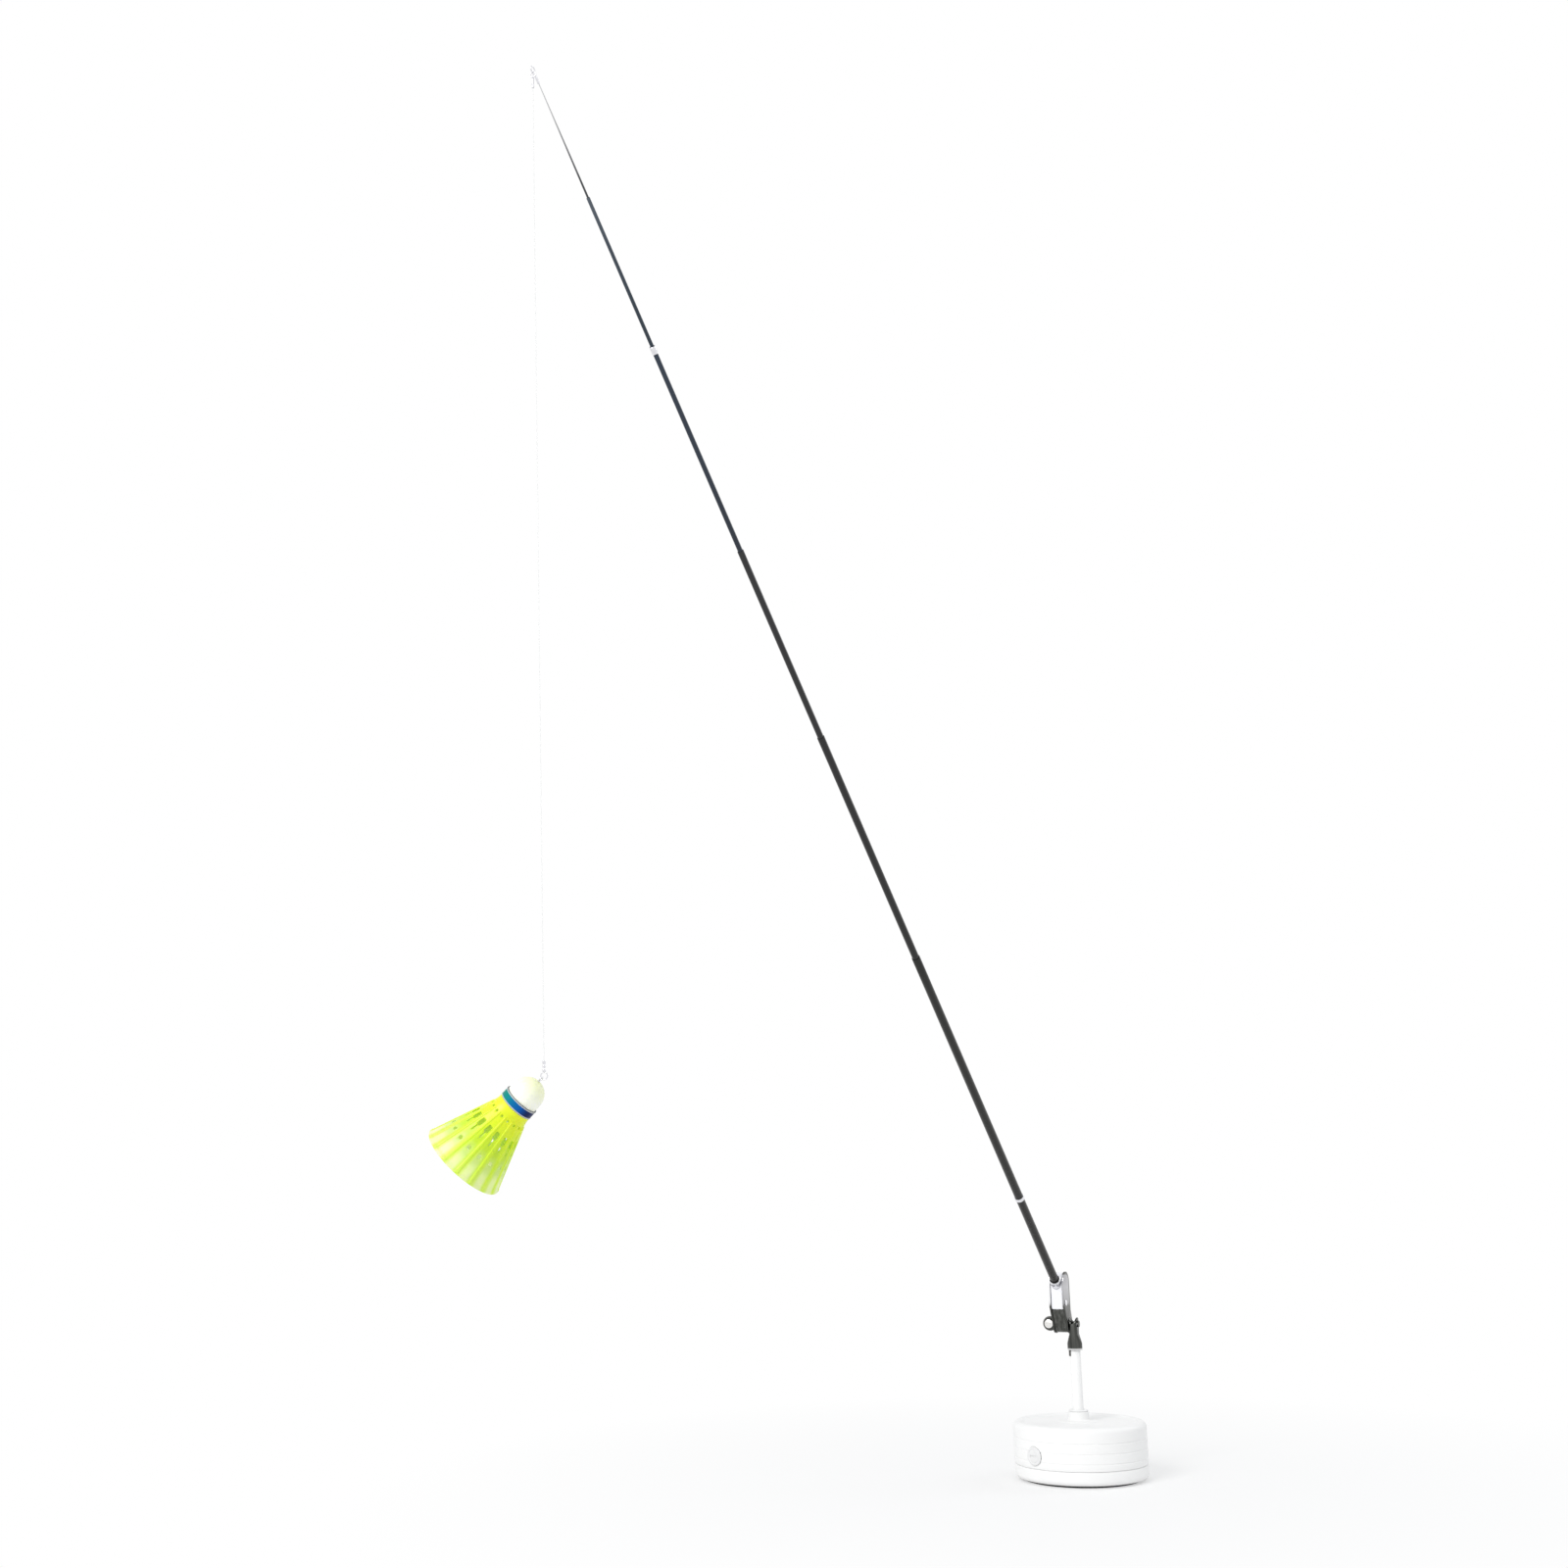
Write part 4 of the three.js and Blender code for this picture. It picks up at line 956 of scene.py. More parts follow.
def makeMat(finishes):
    profile = [(0, 0)]
    for radius in mat["channels"]:
        profile += shifted(mat["channel"], radius, 0)
    profile += shifted(mat["lowEdge"], mat["radius"], 0)
    profile += shifted(mat["topEdge"], mat["radius"], mat["top"]) + [(0, mat["top"])]
    sole = turned("groundMat", profile, base["steps"])
    settle(sole, plain, "tank")
    finished(sole, finishes["rubber"], "base", "rubber_mat")


def makeBase(finishes):
    makeShell(finishes)
    makeTray(finishes)
    makeMat(finishes)
    print("base made")


# Filler cap: places run outwards from its head's foot
fillerCap = {
    "headFoot": 99,  # from the base's axis
    "thread": [
        (0, -9),
        (7.6, -9),
        (8.4, -8.2),
        (7.9, -7.4),
        (8.7, -6.4),
        (7.9, -5.4),
        (8.7, -4.4),
        (7.9, -3.4),
        (8.7, -2.4),
        (8.2, -1.4),
        (8.2, 0),
    ],
    "rim": [(13.1, 0), (13.5, 0.4), (13.5, 1.2), (12.9, 1.9), (12.2, 2.2)],
    "face": [(10.6, 2.2), (10.1, 1.7), (9.2, 1.7), (8.7, 2.2), (0, 2.2)],
    "slotWidth": 2.6,
    "slotLength": 15,
    "slotFloor": 0.9,
    "notches": 18,
    "notchRadius": 0.7,
    "notchReach": 13.75,
    "cutFrom": -1,
    "cutTo": 4,
}


def makeFillerCap(finishes):
    c = fillerCap
    foot = c["headFoot"]
    cap = turned("fillerCap", shifted(c["thread"] + c["rim"] + c["face"], 0, foot), steps=72)
    x, y = c["slotWidth"] / 2, c["slotLength"] / 2
    cut(cap, box((-x, -y, foot + c["slotFloor"]), (x, y, foot + c["cutTo"])))
    for step in range(c["notches"]):  # finger notches round the rim
        angle = 2 * math.pi * step / c["notches"]
        place = at(c["notchReach"] * math.cos(angle), c["notchReach"] * math.sin(angle), 0)
        bore(cap, c["notchRadius"], foot + c["cutFrom"], foot + c["cutTo"], place, steps=10)
    settle(cap, fillerFrame, "turned")
    finished(cap, finishes["cap"], "filler", "filler_plug")
    print("filler cap made")


# Post and bush: radius and height
post = {
    "bush": [
        (8.3, 68.3),
        (9.9, 68.3),
        (10.5, 69),
        (10.5, 96.3),
        (14.2, 96.3),
        (14.6, 96.7),
        (14.6, 97.6),
        (14, 98.2),
        (13, 98.3),
        (8.9, 98.3),
        (8.3, 97.7),
        (8.3, 68.3),
    ],
    "pipe": [(6.5, 6.8), (7.6, 6.8), (8, 7.3), (8, 193), (7.6, 193.5), (6.5, 193.5), (6.5, 6.8)],
    "screwHeight": 190.5,
    "screwBore": 2.3,
    "screwReach": 14,
    "steps": 96,
}
screwFrame = at(0, 0, post["screwHeight"]) @ forwards


def makePost(finishes):
    bush = turned("neckBush", post["bush"], post["steps"])
    settle(bush, plain, "turned")
    finished(bush, finishes["bush"], "bush", "post_bush")
    pipe = turned("postPipe", post["pipe"], post["steps"])
    bore(pipe, post["screwBore"], -post["screwReach"], 0, screwFrame, steps=24)
    settle(pipe, plain, "turned")
    finished(pipe, finishes["paint"], "post", "post_tube")
    print("post made")


# Sleeve: a tube, round below and pressed flatter above, with a tab at its foot
sleeve = {
    "roundHeights": (185, 190, 194.5),
    "pressSteps": 8,
    "flatHeights": (207.5, 214, 223, 233),
    "inner": 9.8,  # the outlines are the wall's inner face
    "wall": 1.5,
    "halfX": 5,
    "halfY": 9.5,
    "power": 3.4,  # how square the pressed outline is
    "columns": 72,
    "clear": 40,  # half the size of what trims it
    "clearFoot": 150,
    "boltBore": 4.3,
    "boltReach": 30,
    "soft": (0.3, 2, 40),
    "tab": [(8.3, 176), (9.8, 176), (9.8, 186), (8.3, 186), (8.3, 176)],
    "tabHalfWidth": 3,
    "tabCut": (30, 170, 190),  # its reach out, and its foot and top
    "tabAngle": math.radians(-150),
}
sleeveScrew = {
    "shank": [(0, -6.5), (2, -6.5), (2, 0)],
    "head": [(3.8, 0), (4, 0.3), (4, 1.1), (3.4, 1.9), (2.2, 2.45), (0, 2.6)],
    "recess": (0.45, 2),  # half its width and length
    "recessHeights": (1.3, 5),
    "seat": 10.1,
}


def sleeveReach(angle, share):  # reach at an angle, from round at 0 to flat at 1
    s = sleeve
    halfX = s["inner"] * (1 - share) + s["halfX"] * share
    halfY = s["inner"] * (1 - share) + s["halfY"] * share
    power = 2 * (1 - share) + s["power"] * share
    c, d = abs(math.cos(angle)), abs(math.sin(angle))
    return ((c / halfX) ** power + (d / halfY) ** power) ** (-1 / power)


def trimSleeve(piece):
    s, far, pivotHeight = sleeve, sleeve["clear"], trainer["pivotHeight"]
    eye = turned("topCutter", [(0, -far), (s["halfY"], -far), (s["halfY"], far), (0, far)], steps=96)
    placed(eye, at(0, 0, pivotHeight) @ sideways)  # rounds the top about the pivot
    cut(eye, box((-far, -far, s["clearFoot"]), (far, far, pivotHeight)), "UNION")
    cut(piece, eye, "INTERSECT")
    bore(piece, s["boltBore"], -s["boltReach"], s["boltReach"], at(0, 0, pivotHeight) @ sideways, steps=40)
    bore(piece, post["screwBore"], -post["screwReach"], 0, screwFrame, steps=24)
    tab = turned("sleeveTab", s["tab"], steps=96)
    out, foot, top = s["tabCut"]
    keep = box((0, -s["tabHalfWidth"], foot), (out, s["tabHalfWidth"], top))
    cut(tab, placed(keep, turn(s["tabAngle"], "Z")), "INTERSECT")
    cut(piece, tab, "UNION")


def makeSleeve(finishes):
    s = sleeve
    low, high, steps = s["roundHeights"][-1], s["flatHeights"][0], s["pressSteps"]
    heights = list(s["roundHeights"])
    heights += [low + (high - low) * step / steps for step in range(1, steps)]
    heights += s["flatHeights"]
    piece = ringTube("flatSleeve", s["columns"], heights, [s["inner"]] * len(heights))
    for corner in piece.data.vertices:  # the press: each ring takes its own outline
        share = min(max((corner.co.z / mm - low) / (high - low), 0), 1)
        angle = math.atan2(corner.co.y, corner.co.x)
        reach = sleeveReach(angle, share) * mm
        corner.co.x, corner.co.y = reach * math.cos(angle), reach * math.sin(angle)
    applied(piece, "SOLIDIFY", thickness=s["wall"] * mm, offset=1)
    trimSleeve(piece)
    softEdges(piece, *s["soft"])
    settle(piece, plain, "plate")
    finished(piece, finishes["sleeve"], "post", "bracket_sleeve")

    screw = turned("sleeveScrew", sleeveScrew["shank"] + sleeveScrew["head"], steps=40)
    (x, y), (low, high) = sleeveScrew["recess"], sleeveScrew["recessHeights"]
    for angle in (0, math.pi / 2):  # cross recess
        cut(screw, placed(box((-x, -y, low), (x, y, high)), turn(angle, "Z")))
    settle(screw, at(0, sleeveScrew["seat"], post["screwHeight"]) @ turn(-math.pi / 2, "X"), "turned")
    finished(screw, finishes["bright"], "post", "sleeve_screw")
    print("sleeve made")


# Upper bracket: places in Y and Z run from the pivot
head = {
    "half": 12,
    "sheet": 2.5,
    "knuckle": 14,
    "archHeight": 62,
    "archMiddle": -10,
    "archRadius": 16,
    "frontFoot": 26,
    "backFoot": 22,
    "arcSteps": 24,
    "web": ((3.5, 24), (6, 56)),
    "boltBore": 4.3,
    "rivetBore": 2.7,
    "rivetPlace": (-19, 32),
    "throughReach": 30,
    "ferruleBore": 8.2,
    "ferruleReach": (19, 64),
    "soft": (0.45, 3, 40),
    "room": 90,  # clears all that lies between the cheeks
    "roomTop": 120,
}
blocks = {
    "play": 0.3,
    "inset": 1.2,
    "clampTop": 22,
    "holderFoot": 22.3,
    "holderBack": 3.2,
    "holderBore": 19.7,  # where the bore starts, up the rod
    "lipBore": 9.5,
    "lipFoot": 63.7,
    "boreEnd": 90,
    "clampSoft": (0.6, 3, 40),
    "holderSoft": (1.6, 5, 40),
}
ferrule = [
    (0, 20),
    (7.3, 20),
    (7.9, 20.6),
    (7.9, 64),
    (8.8, 64),
    (9.2, 64.4),
    (9.2, 65.6),
    (8.7, 66.3),
    (7.7, 66.4),
    (7, 66),
    (6.8, 65.2),
    (6.8, 22),
    (0, 22),
]
rivetFace = 12.3
rivetHead = [(2.4, 0), (4.2, 0), (4.4, 0.3), (4.1, 0.9), (3, 1.5), (1.6, 1.8), (0, 1.8)]  # from its face


def cheekPoints(inset):  # outline of a cheek, going round once
    h, steps = head, head["arcSteps"]
    arch, knuckle = h["archRadius"] - inset, h["knuckle"] - inset
    points = curveOf(h["archMiddle"], h["archHeight"], arch, arch, 0, 180, steps)
    points += [(h["archMiddle"] - arch, h["frontFoot"])]
    points += curveOf(0, 0, knuckle, knuckle, 180, 360, steps)
    points += [(h["archMiddle"] + arch, h["backFoot"])]
    return points


def makeYoke(finishes, alongRod, rivetFrame):
    h, through = head, head["throughReach"]
    inner = h["half"] - h["sheet"]
    yoke = slabPiece("archedYoke", cheekPoints(0), -h["half"], h["half"])
    cut(yoke, box((-inner, -h["room"], -h["room"]), (inner, h["room"], h["roomTop"])))
    low, high = h["web"]
    cut(yoke, box((-h["half"], *low), (h["half"], *high)), "UNION")
    bore(yoke, h["ferruleBore"], *h["ferruleReach"], alongRod, steps=64)
    bore(yoke, h["boltBore"], -through, through, sideways, steps=48)
    bore(yoke, h["rivetBore"], -through, through, rivetFrame, steps=32)
    softEdges(yoke, *h["soft"])
    settle(yoke, headFrame, "plate")
    finished(yoke, finishes["yoke"], "head", "bracket_yoke")


def makeBlocks(finishes, alongRod, rivetFrame):
    h, b, through, far = head, blocks, head["throughReach"], head["room"]
    half = h["half"] - h["sheet"] - b["play"]
    block = slabPiece("clampBlock", cheekPoints(b["inset"]), -half, half)
    cut(block, box((-far, -far, -far), (far, far, b["clampTop"])), "INTERSECT")
    bore(block, h["boltBore"], -through, through, sideways, steps=48)
    softEdges(block, *b["clampSoft"])
    settle(block, headFrame, "plate")
    finished(block, finishes["dark"], "head", "clamp_block")

    holder = slabPiece("rodHolder", cheekPoints(b["inset"]), -half, half)
    cut(holder, box((-far, -far, b["holderFoot"]), (far, b["holderBack"], h["roomTop"])), "INTERSECT")
    softEdges(holder, *b["holderSoft"])
    bore(holder, h["ferruleBore"], b["holderBore"], b["boreEnd"], alongRod, steps=64)
    bore(holder, b["lipBore"], b["lipFoot"], b["boreEnd"], alongRod, steps=64)
    bore(holder, h["rivetBore"], -through, through, rivetFrame, steps=32)
    settle(holder, headFrame, "plate")
    finished(holder, finishes["holder"], "head", "rod_holder")


def makeHead(finishes):
    alongRod = turn(trainer["rodLean"], "X") @ at(0, trainer["rodSetBack"], 0)
    rivetFrame = at(0, *head["rivetPlace"]) @ sideways
    makeYoke(finishes, alongRod, rivetFrame)
    makeBlocks(finishes, alongRod, rivetFrame)

    socket = turned("rodFerrule", ferrule, steps=72)
    settle(socket, rodFrame, "turned")
    finished(socket, finishes["bright"], "head", "rod_socket")

    end = shifted(rivetHead, 0, rivetFace)
    rivet = turned("crossRivet", [(radius, -x) for radius, x in reversed(end)] + end, steps=40)
    settle(rivet, headFrame @ rivetFrame, "wire")
    finished(rivet, finishes["bright"], "head", "holder_rivet")
    print("upper bracket made")


# Pivot: places run along +X from the bracket's middle, the knob's the other way
pivot = {
    "boltRadius": 4,
    "boltChamfer": 0.4,
    "boltEnd": -18.9,
    "boltSoft": (0.2, 2, 35),
    "headFace": 23.9,
    "headLap": 1,
    "hexagon": 5.4,
    "hexagonHeight": 2.2,
    # from the hexagon's reach and the head's face
    "hexagonDome": [(0.1, 1.3), (-0.2, 1.6), (-0.7, 2.05), (-1.3, 2.2)],
    "washerBore": 4.3,
    "washer": 6.4,
    "washerThick": 1,
    "washerEdge": (0.3, 0.25),
    "washerBoreEdge": 0.2,
    "washerFeet": (22.6, -13.3),
    "knobFoot": 13.6,
    "knobNeck": 9.5,
    "knobNeckLength": 0.8,
    "knobNeckEdge": (0.3, 0.25, 0.1),
    "knobRadius": 11,
    "knobEnd": 4,
    "knobDimple": (0.8, 0.35),
    "knobFlat": 9,
    "knobBore": (4.3, 9.8),  # radius and depth
    "knobSoft": (0.35, 3, 35),
}


def makeBolt(finishes):
    v = pivot
    face, tall, wide, end = v["headFace"], v["hexagonHeight"], v["hexagon"], v["boltEnd"]
    radius, chamfer, lap = v["boltRadius"], v["boltChamfer"], v["headLap"]
    shank = [(0, end), (radius - chamfer, end), (radius, end + chamfer)]
    shank += [(radius, face + lap), (0, face + lap)]
    bolt = turned("pivotBolt", shank, steps=48)
    sizes = {"radius": wide * mm, "depth": tall * mm}
    hexagon = primitive(bpy.ops.mesh.primitive_cylinder_add, "hexHead", vertices=6, **sizes)
    placed(hexagon, at(0, 0, face + tall / 2))
    dome = [(0, face - lap), (wide + v["hexagonDome"][0][0], face - lap)]
    dome += shifted(v["hexagonDome"], wide, face) + [(0, face + tall)]
    cut(hexagon, turned("domeCutter", dome, steps=64), "INTERSECT")
    cut(bolt, hexagon, "UNION")
    softEdges(bolt, *v["boltSoft"])
    settle(bolt, headFrame @ sideways, "turned")
    finished(bolt, finishes["dark"], "head", "pivot_bolt")


def makeWashers(finishes):
    v = pivot
    side, hole, edge = v["washer"], v["washerBore"], v["washerBoreEdge"]
    thick, (inwards, up) = v["washerThick"], v["washerEdge"]
    names = (("washerByHead", "washer_head_side"), ("washerByKnob", "washer_knob_side"))
    for (name, cadNode), low in zip(names, v["washerFeet"]):
        top = low + thick
        profile = [(hole, low), (side - inwards, low), (side, low + up), (side, top - up)]
        profile += [(side - inwards, top), (hole + edge, top), (hole, top - edge), (hole, low)]
        washer = turned(name, profile, steps=64)
        settle(washer, headFrame @ sideways, "turned")
        finished(washer, finishes["bright"], "head", cadNode)


def makeKnob(finishes):
    v = pivot
    foot, neck, ball, end = v["knobFoot"], v["knobNeck"], v["knobRadius"], v["knobEnd"]
    neckTop = foot + v["knobNeckLength"]
    middle = neckTop + math.sqrt(ball**2 - neck**2)
    startAngle = math.degrees(math.asin(-(middle - neckTop) / ball))
    endAngle = math.degrees(math.acos(end / ball))
    (inwards, down), (hole, depth) = v["knobDimple"], v["knobBore"]
    top = middle + ball * math.sin(math.radians(endAngle)) - down
    neckIn, neckUp, neckDown = v["knobNeckEdge"]
    profile = [(hole, foot), (neck - neckIn, foot), (neck, foot + neckUp), (neck, neckTop - neckDown)]
    profile += curveOf(0, middle, ball, ball, startAngle, endAngle, steps=24)[1:]
    profile += [(end - inwards, top), (0, top), (0, foot + depth), (hole, foot + depth), (hole, foot)]
    knob = turned("clampKnob", profile, steps=80)
    far = 2 * ball
    for side in (-1, 1):  # finger flats
        near, out = sorted((side * v["knobFlat"], side * far))
        cut(knob, box((-far, near, middle - far), (far, out, middle + far)))
    softEdges(knob, *v["knobSoft"])
    settle(knob, headFrame @ sideways @ turn(math.pi, "X"), "turned")
    finished(knob, finishes["knob"], "knob", "pivot_knob")


def makePivot(finishes):
    makeBolt(finishes)
    makeWashers(finishes)
    makeKnob(finishes)
    print("pivot made")


# Telescopic rod: tip, radii where each section starts and ends, wall, lap in the one below
rodParts = [
    {"tip": 758.04, "start": 6.5, "end": 5.5, "wall": 0.6, "lap": 0, "slot": "charcoal_rod"},
    {"tip": 1119.07, "start": 4.7, "end": 4.45, "wall": 0.5, "lap": 50, "slot": "charcoal_rod"},
    {"tip": 1373.96, "start": 3.75, "end": 3.55, "wall": 0.45, "lap": 45, "slot": "charcoal_rod"},
    {"tip": 1612.92, "start": 2.9, "end": 2.55, "wall": 0.35, "lap": 40, "slot": "slate_rod"},
    {"tip": 1765, "start": 2, "end": 1.75, "wall": 0.3, "lap": 35, "slot": "blue_grey_rod"},
]
rodFacts = {
    "foot": 25.6,
    "rings": 14,  # for the wrap pattern and a true taper
    "rollShare": 0.5,  # rolled ends, as a share of the wall
    "rollInShare": 0.6,
    "columns": 40,
    "tip": [
        (0, 1735),
        (1, 1735),
        (1.2, 1735.4),
        (1, 1772),
        (0.82, 1808),
        (0.64, 1843),
        (0.45, 1877.7),
        (0.35, 1878),
        (0, 1878),
    ],
    "plug": [
        (0, 22.3),
        (5.7, 22.3),
        (6.3, 22.6),
        (6.5, 23.2),
        (6.5, 25.3),
        (5.6, 25.3),
        (5.6, 37),
        (5.2, 37.6),
        (0, 37.6),
    ],
}
rodBands = [
    {"name": "keeperBand", "section": 1, "low": 262, "length": 6, "thick": 0.8, "node": "keeper_band"},
    {"name": "jointCollar", "section": 4, "low": 1604.92, "length": 8, "thick": 0.6, "node": "joint_ring"},
]
bandShape = {"play": 0.2, "edge": 0.2, "waist": 0.8, "shares": (0.3, 0.36, 0.64, 0.7)}


def footOf(index):
    return rodFacts["foot"] if index == 0 else rodParts[index - 1]["tip"] - rodParts[index]["lap"]


def radiusAt(index, place):
    part, foot = rodParts[index], footOf(index)
    return part["start"] + (part["end"] - part["start"]) * (place - foot) / (part["tip"] - foot)


def makeSections(finishes):
    for index, part in enumerate(rodParts):
        foot = footOf(index)
        a, b, wall, tip = part["start"], part["end"], part["wall"], part["tip"]
        roll = wall * rodFacts["rollShare"]
        rollIn = roll * rodFacts["rollInShare"]
        profile = [(a - wall, foot), (a - rollIn, foot), (a, foot + roll)]
        for step in range(1, rodFacts["rings"]):
            share = step / rodFacts["rings"]
            profile.append((a + (b - a) * share, foot + (tip - foot) * share))
        profile += [(b, tip - roll), (b - rollIn, tip), (b - wall, tip), (a - wall, foot)]
        piece = turned(f"rodPart{index + 1}", profile, rodFacts["columns"])
        settle(piece, rodFrame, "turned")
        finish = finishes[f"rod{index + 1}"]
        finished(piece, finish, f"rod_{index + 1}", f"rod_section_{index + 1}")


def makeBands(finishes):
    low1, low2, high1, high2 = bandShape["shares"]
    waist, edge = bandShape["waist"], bandShape["edge"]
    for facts in rodBands:
        low, length, thick = facts["low"], facts["length"], facts["thick"]
        high = low + length
        inner, upper = (radiusAt(facts["section"] - 1, place) + bandShape["play"] for place in (low, high))
        profile = [(inner, low), (inner + thick - edge, low), (inner + thick, low + edge)]
        profile += [(inner + thick, low + length * low1), (inner + thick * waist, low + length * low2)]
        profile += [(upper + thick * waist, low + length * high1), (upper + thick, low + length * high2)]
        profile += [(upper + thick, high - edge), (upper + thick - edge, high), (upper, high), (inner, low)]
        band = turned(facts["name"], profile, steps=48)
        settle(band, rodFrame, "turned")
        finished(band, finishes["bright"], f"rod_{facts['section']}", facts["node"])


def makeRod(finishes):
    makeSections(finishes)
    end = turned("rodEnd", rodFacts["tip"], steps=24)
    settle(end, rodFrame, "turned")
    finished(end, finishes["tip"], "rod_end", "rod_tip")
    plug = turned("buttPlug", rodFacts["plug"], steps=48)
    settle(plug, rodFrame, "turned")
    finished(plug, finishes["rubber"], "rod_1", "butt_cap")
    makeBands(finishes)
    print("rod made")


# Rings and crimps: the tip ring's places run up the rod, the crimps' down the line
tipRing = {
    "profile": [
        (0, 1878.3),
        (0.65, 1878.3),
        (0.65, 1871),
        (1.15, 1871),
        (1.3, 1871.2),
        (1.3, 1872.6),
        (1.12, 1873),
        (1.3, 1873.4),
        (1.3, 1876.6),
        (1.12, 1877),
        (1.3, 1877.4),
        (1.3, 1879.6),
        (1.1, 1880),
        (0, 1880),
    ],
    "eye": {"major": 3.2, "minor": 0.6, "parting": 0.5, "height": trainer["tipRing"]},
}
tipLink = {"major": 2.8, "minor": 0.5, "parting": 6}
crimpBarrel = [
    (0, 0),
    (0.9, 0),
    (1.2, 0.2),
    (1.3, 0.6),
    (1.3, 2.2),
    (1.05, 2.7),
    (1.05, 3.6),
    (1.3, 4.1),
    (1.3, 4.9),
    (1.05, 5.4),
    (1.05, 6.3),
    (1.3, 6.8),
    (1.3, 8.4),
    (1.2, 8.8),
    (0.9, 9),
    (0, 9),
]
crimps = [
    {
        "name": "upperCrimp",
        "foot": -14.15,
        "eye": {"major": 1.8, "minor": 0.45, "parting": 0.5, "height": -3.35},
        "facing": sideways,
        "node": "upper_crimp",
    },
    {
        "name": "lowerCrimp",
        "foot": -899.75,
        "eye": {"major": 2.8, "minor": 0.5, "parting": 0.5, "height": -trainer["lineEnd"]},
        "facing": forwards,
        "node": "lower_crimp",
    },
]


def makeRigging(finishes):
    bright = finishes["bright"]
    ring = turned("tipRing", tipRing["profile"], steps=32)
    addEye(ring, tipRing["eye"], sideways)
    settle(ring, rodFrame, "wire")
    finished(ring, bright, "rod_end", "tip_ring")

    link = wireLoop("tipLink", **tipLink)
    settle(link, linkFrame @ forwards, "link")
    finished(link, bright, "link", "tip_link")

    for facts in crimps:
        crimp = turned(facts["name"], shifted(crimpBarrel, 0, facts["foot"]), steps=32)
        addEye(crimp, facts["eye"], facts["facing"])
        settle(crimp, lineFrame, "wire")
        finished(crimp, bright, "hanging_line", facts["node"])
    print("rings and crimps made")


# Shuttlecock: the skirt's places run from the cork's top towards the rim
shuttle = {
    "corkDrop": 6.1,
    "length": 85,
    "collarRadius": 13.4,
    "collarEnd": 30,
    "neck": 33,
    "neckRadius": 14.4,
    "rimRadius": 34,
    "wall": 0.9,  # outside the skirt's radii above
    "ribs": 16,
    "columns": 176,
    "ribReach": (33, 84),
    "ribHeight": 0.45,
    "ribFacingShare": 0.45,  # least outward part of a face's direction on a rib
    "beadFrom": 82,
    "bead": 0.4,
    "beadWall": 0.3,
    "beadFacing": -0.9,
    "collarRings": (20.3, 25, 29, 32),
    "skirtRings": (38, 41.5, 53, 54.6, 59, 61.5, 71, 75, 79, 82.5, 84.2, 85),
}
cork = {
    "radius": 13.4,
    "domeHeight": 13,
    "bore": [(1.1, -10.3), (1.1, -0.05)],  # heights below the cork's top
    "body": [
        (13.4, -19.5),
        (13, -20),
        (11, -20),
        (11, -29.6),
        (10.6, -30),
        (0, -30),
        (0, -10.3),
        (1.1, -10.3),
    ],
    "hook": [(0, -16.1), (0.6, -16.1), (0.8, -15.8), (0.8, -5.15), (0, -5.15)],
    "eye": {"major": 1.8, "minor": 0.45, "parting": 0.5, "height": -3.35},
    "bandReach": (26, 18.5),
    "bandEdge": [(13.7, 0), (14.1, 0), (14.45, 0.15), (14.6, 0.5), (14.6, 1.1), (14.35, 1.3)],
    "bandMiddle": 14.4,
}
# Openings between two ribs, where there are eleven columns of faces: first and last place of a row,
# and the columns from the middle that are open
skirtRows = [
    {"from": 33.9, "middle": 34.65, "to": 35.4, "open": (0, 1)},
    {"from": 44.8, "middle": 47.7, "to": 50.6, "open": (0, 1, 2)},
    {"from": 50.6, "to": 56.2, "open": (0,)},  # a narrow end of the row before
    {"from": 64.4, "middle": 65.6, "to": 66.8, "open": (0, 1)},
]


def makeCork(finishes):
    drop = shuttle["corkDrop"]
    hook = turned("corkHook", cork["hook"], steps=24)
    addEye(hook, cork["eye"], sideways)
    settle(hook, shuttleFrame, "wire")
    finished(hook, finishes["bright"], "shuttlecock", "cork_eye")

    radius, tall = cork["radius"], cork["domeHeight"]
    dome = curveOf(0, -drop - tall, radius, tall, 85, 0, steps=20)[1:]
    profile = shifted(cork["bore"], 0, -drop) + dome + shifted(cork["body"], 0, -drop)
    nose = turned("corkNose", profile, steps=72)
    settle(nose, shuttleFrame, "turned")
    finished(nose, finishes["cork"], "shuttlecock", "cork")

    low, high = (-drop - reach for reach in cork["bandReach"])
    edge = cork["bandEdge"]
    profile = shifted(edge, 0, low) + [(cork["bandMiddle"], (low + high) / 2)]
    profile += [(radius, high - height) for radius, height in reversed(edge)] + [(edge[0][0], low)]
    band = turned("corkBand", profile, steps=96)
    settle(band, shuttleFrame, "turned")
    finished(band, finishes["band"], "shuttlecock", "cork_band")


def skirtRadius(place):
    s = shuttle
    if place <= s["collarEnd"]:
        return s["collarRadius"]
    if place <= s["neck"]:
        share = (place - s["collarEnd"]) / (s["neck"] - s["collarEnd"])
        return s["collarRadius"] + (s["neckRadius"] - s["collarRadius"]) * share
    share = (place - s["neck"]) / (s["length"] - s["neck"])
    return s["neckRadius"] + (s["rimRadius"] - s["neckRadius"]) * share


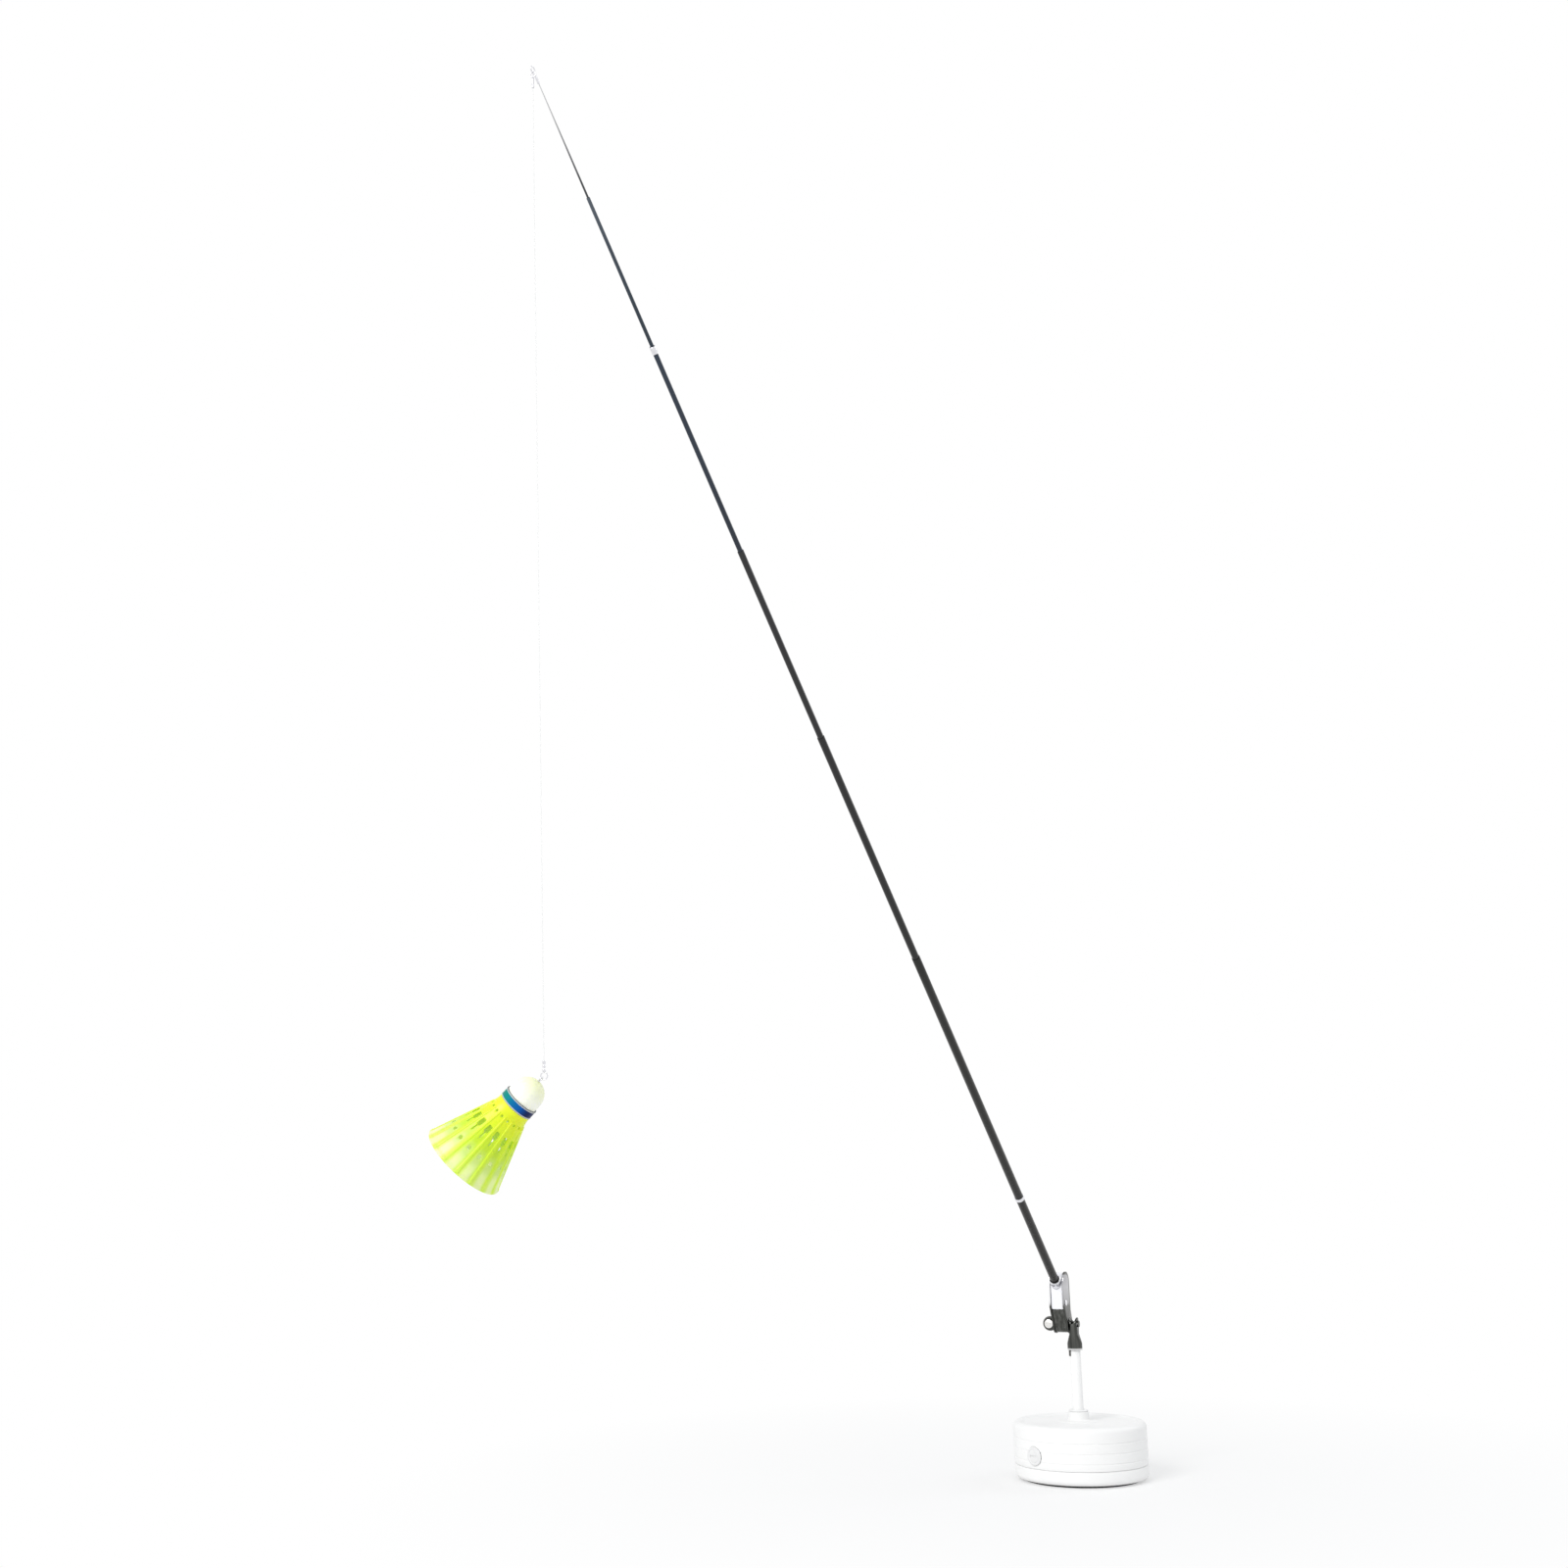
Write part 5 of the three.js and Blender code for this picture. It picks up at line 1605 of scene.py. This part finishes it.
def makeSkirt(finishes):
    s, drop = shuttle, shuttle["corkDrop"]
    pitch, column = 360 / s["ribs"], 360 / s["columns"]
    places = {*s["collarRings"], *s["skirtRings"]}
    for row in skirtRows:
        places.update(row[name] for name in ("from", "middle", "to") if name in row)
    places = sorted(places)
    heights = [-(drop + place) for place in places]
    skirt = ringTube("nylonSkirt", s["columns"], heights, [skirtRadius(place) for place in places])

    def spot(centre):  # place, degrees past a rib and radius
        off = math.degrees(math.atan2(centre.y, centre.x)) % pitch
        return -centre.z / mm - drop, off, math.hypot(centre.x, centre.y) / mm

    def inOpening(centre, normal):
        place, off, radius = spot(centre)
        away = round(abs(off - pitch / 2) / column)  # columns from the middle between two ribs
        return any(away in row["open"] and row["from"] < place < row["to"] for row in skirtRows)

    def onRib(centre, normal):
        place, off, radius = spot(centre)
        outer = radius > skirtRadius(place) - s["wall"] / 2
        outwards = normal.x * centre.x + normal.y * centre.y > s["ribFacingShare"] * radius * mm
        low, high = s["ribReach"]
        return low < place < high and min(off, pitch - off) < column and outer and outwards

    def onRim(centre, normal):
        place, off, radius = spot(centre)
        outer = radius > skirtRadius(place) - s["beadWall"]
        return place > s["beadFrom"] and outer and normal.z > s["beadFacing"]

    startEdit("FACE")
    pick(skirt, inOpening)
    bpy.ops.mesh.delete(type="FACE")
    endEdit()
    applied(skirt, "SOLIDIFY", thickness=s["wall"] * mm, offset=-1)
    startEdit("FACE")
    for test, height in ((onRib, s["ribHeight"]), (onRim, s["bead"])):
        pick(skirt, test)
        bpy.ops.mesh.extrude_region_shrink_fatten(TRANSFORM_OT_shrink_fatten={"value": height * mm})
    endEdit()
    applied(skirt, "SUBSURF", levels=1, render_levels=1)
    settle(skirt, shuttleFrame, "wire")
    finished(skirt, finishes["nylon"], "shuttlecock", "skirt")


def makeShuttle(finishes):
    makeCork(finishes)
    makeSkirt(finishes)
    print("shuttlecock made")


# CAD nodes inside the tank, which keep their own mesh
keptNodes = {"water_fill": ("water", "water"), "filler_gasket": ("rubber", "black_rubber")}


def dressNodes(finishes):
    for name, (finish, slot) in keptNodes.items():
        piece = bpy.data.objects[name]
        piece.data.materials.clear()
        piece.data.materials.append(finishes[finish])
    print("kept nodes dressed")


makeStudio()
finishes = makeFinishes()
makeLine(finishes)
makeBase(finishes)
makeFillerCap(finishes)
makePost(finishes)
makeSleeve(finishes)
makeHead(finishes)
makePivot(finishes)
makeRod(finishes)
makeRigging(finishes)
makeShuttle(finishes)
dressNodes(finishes)
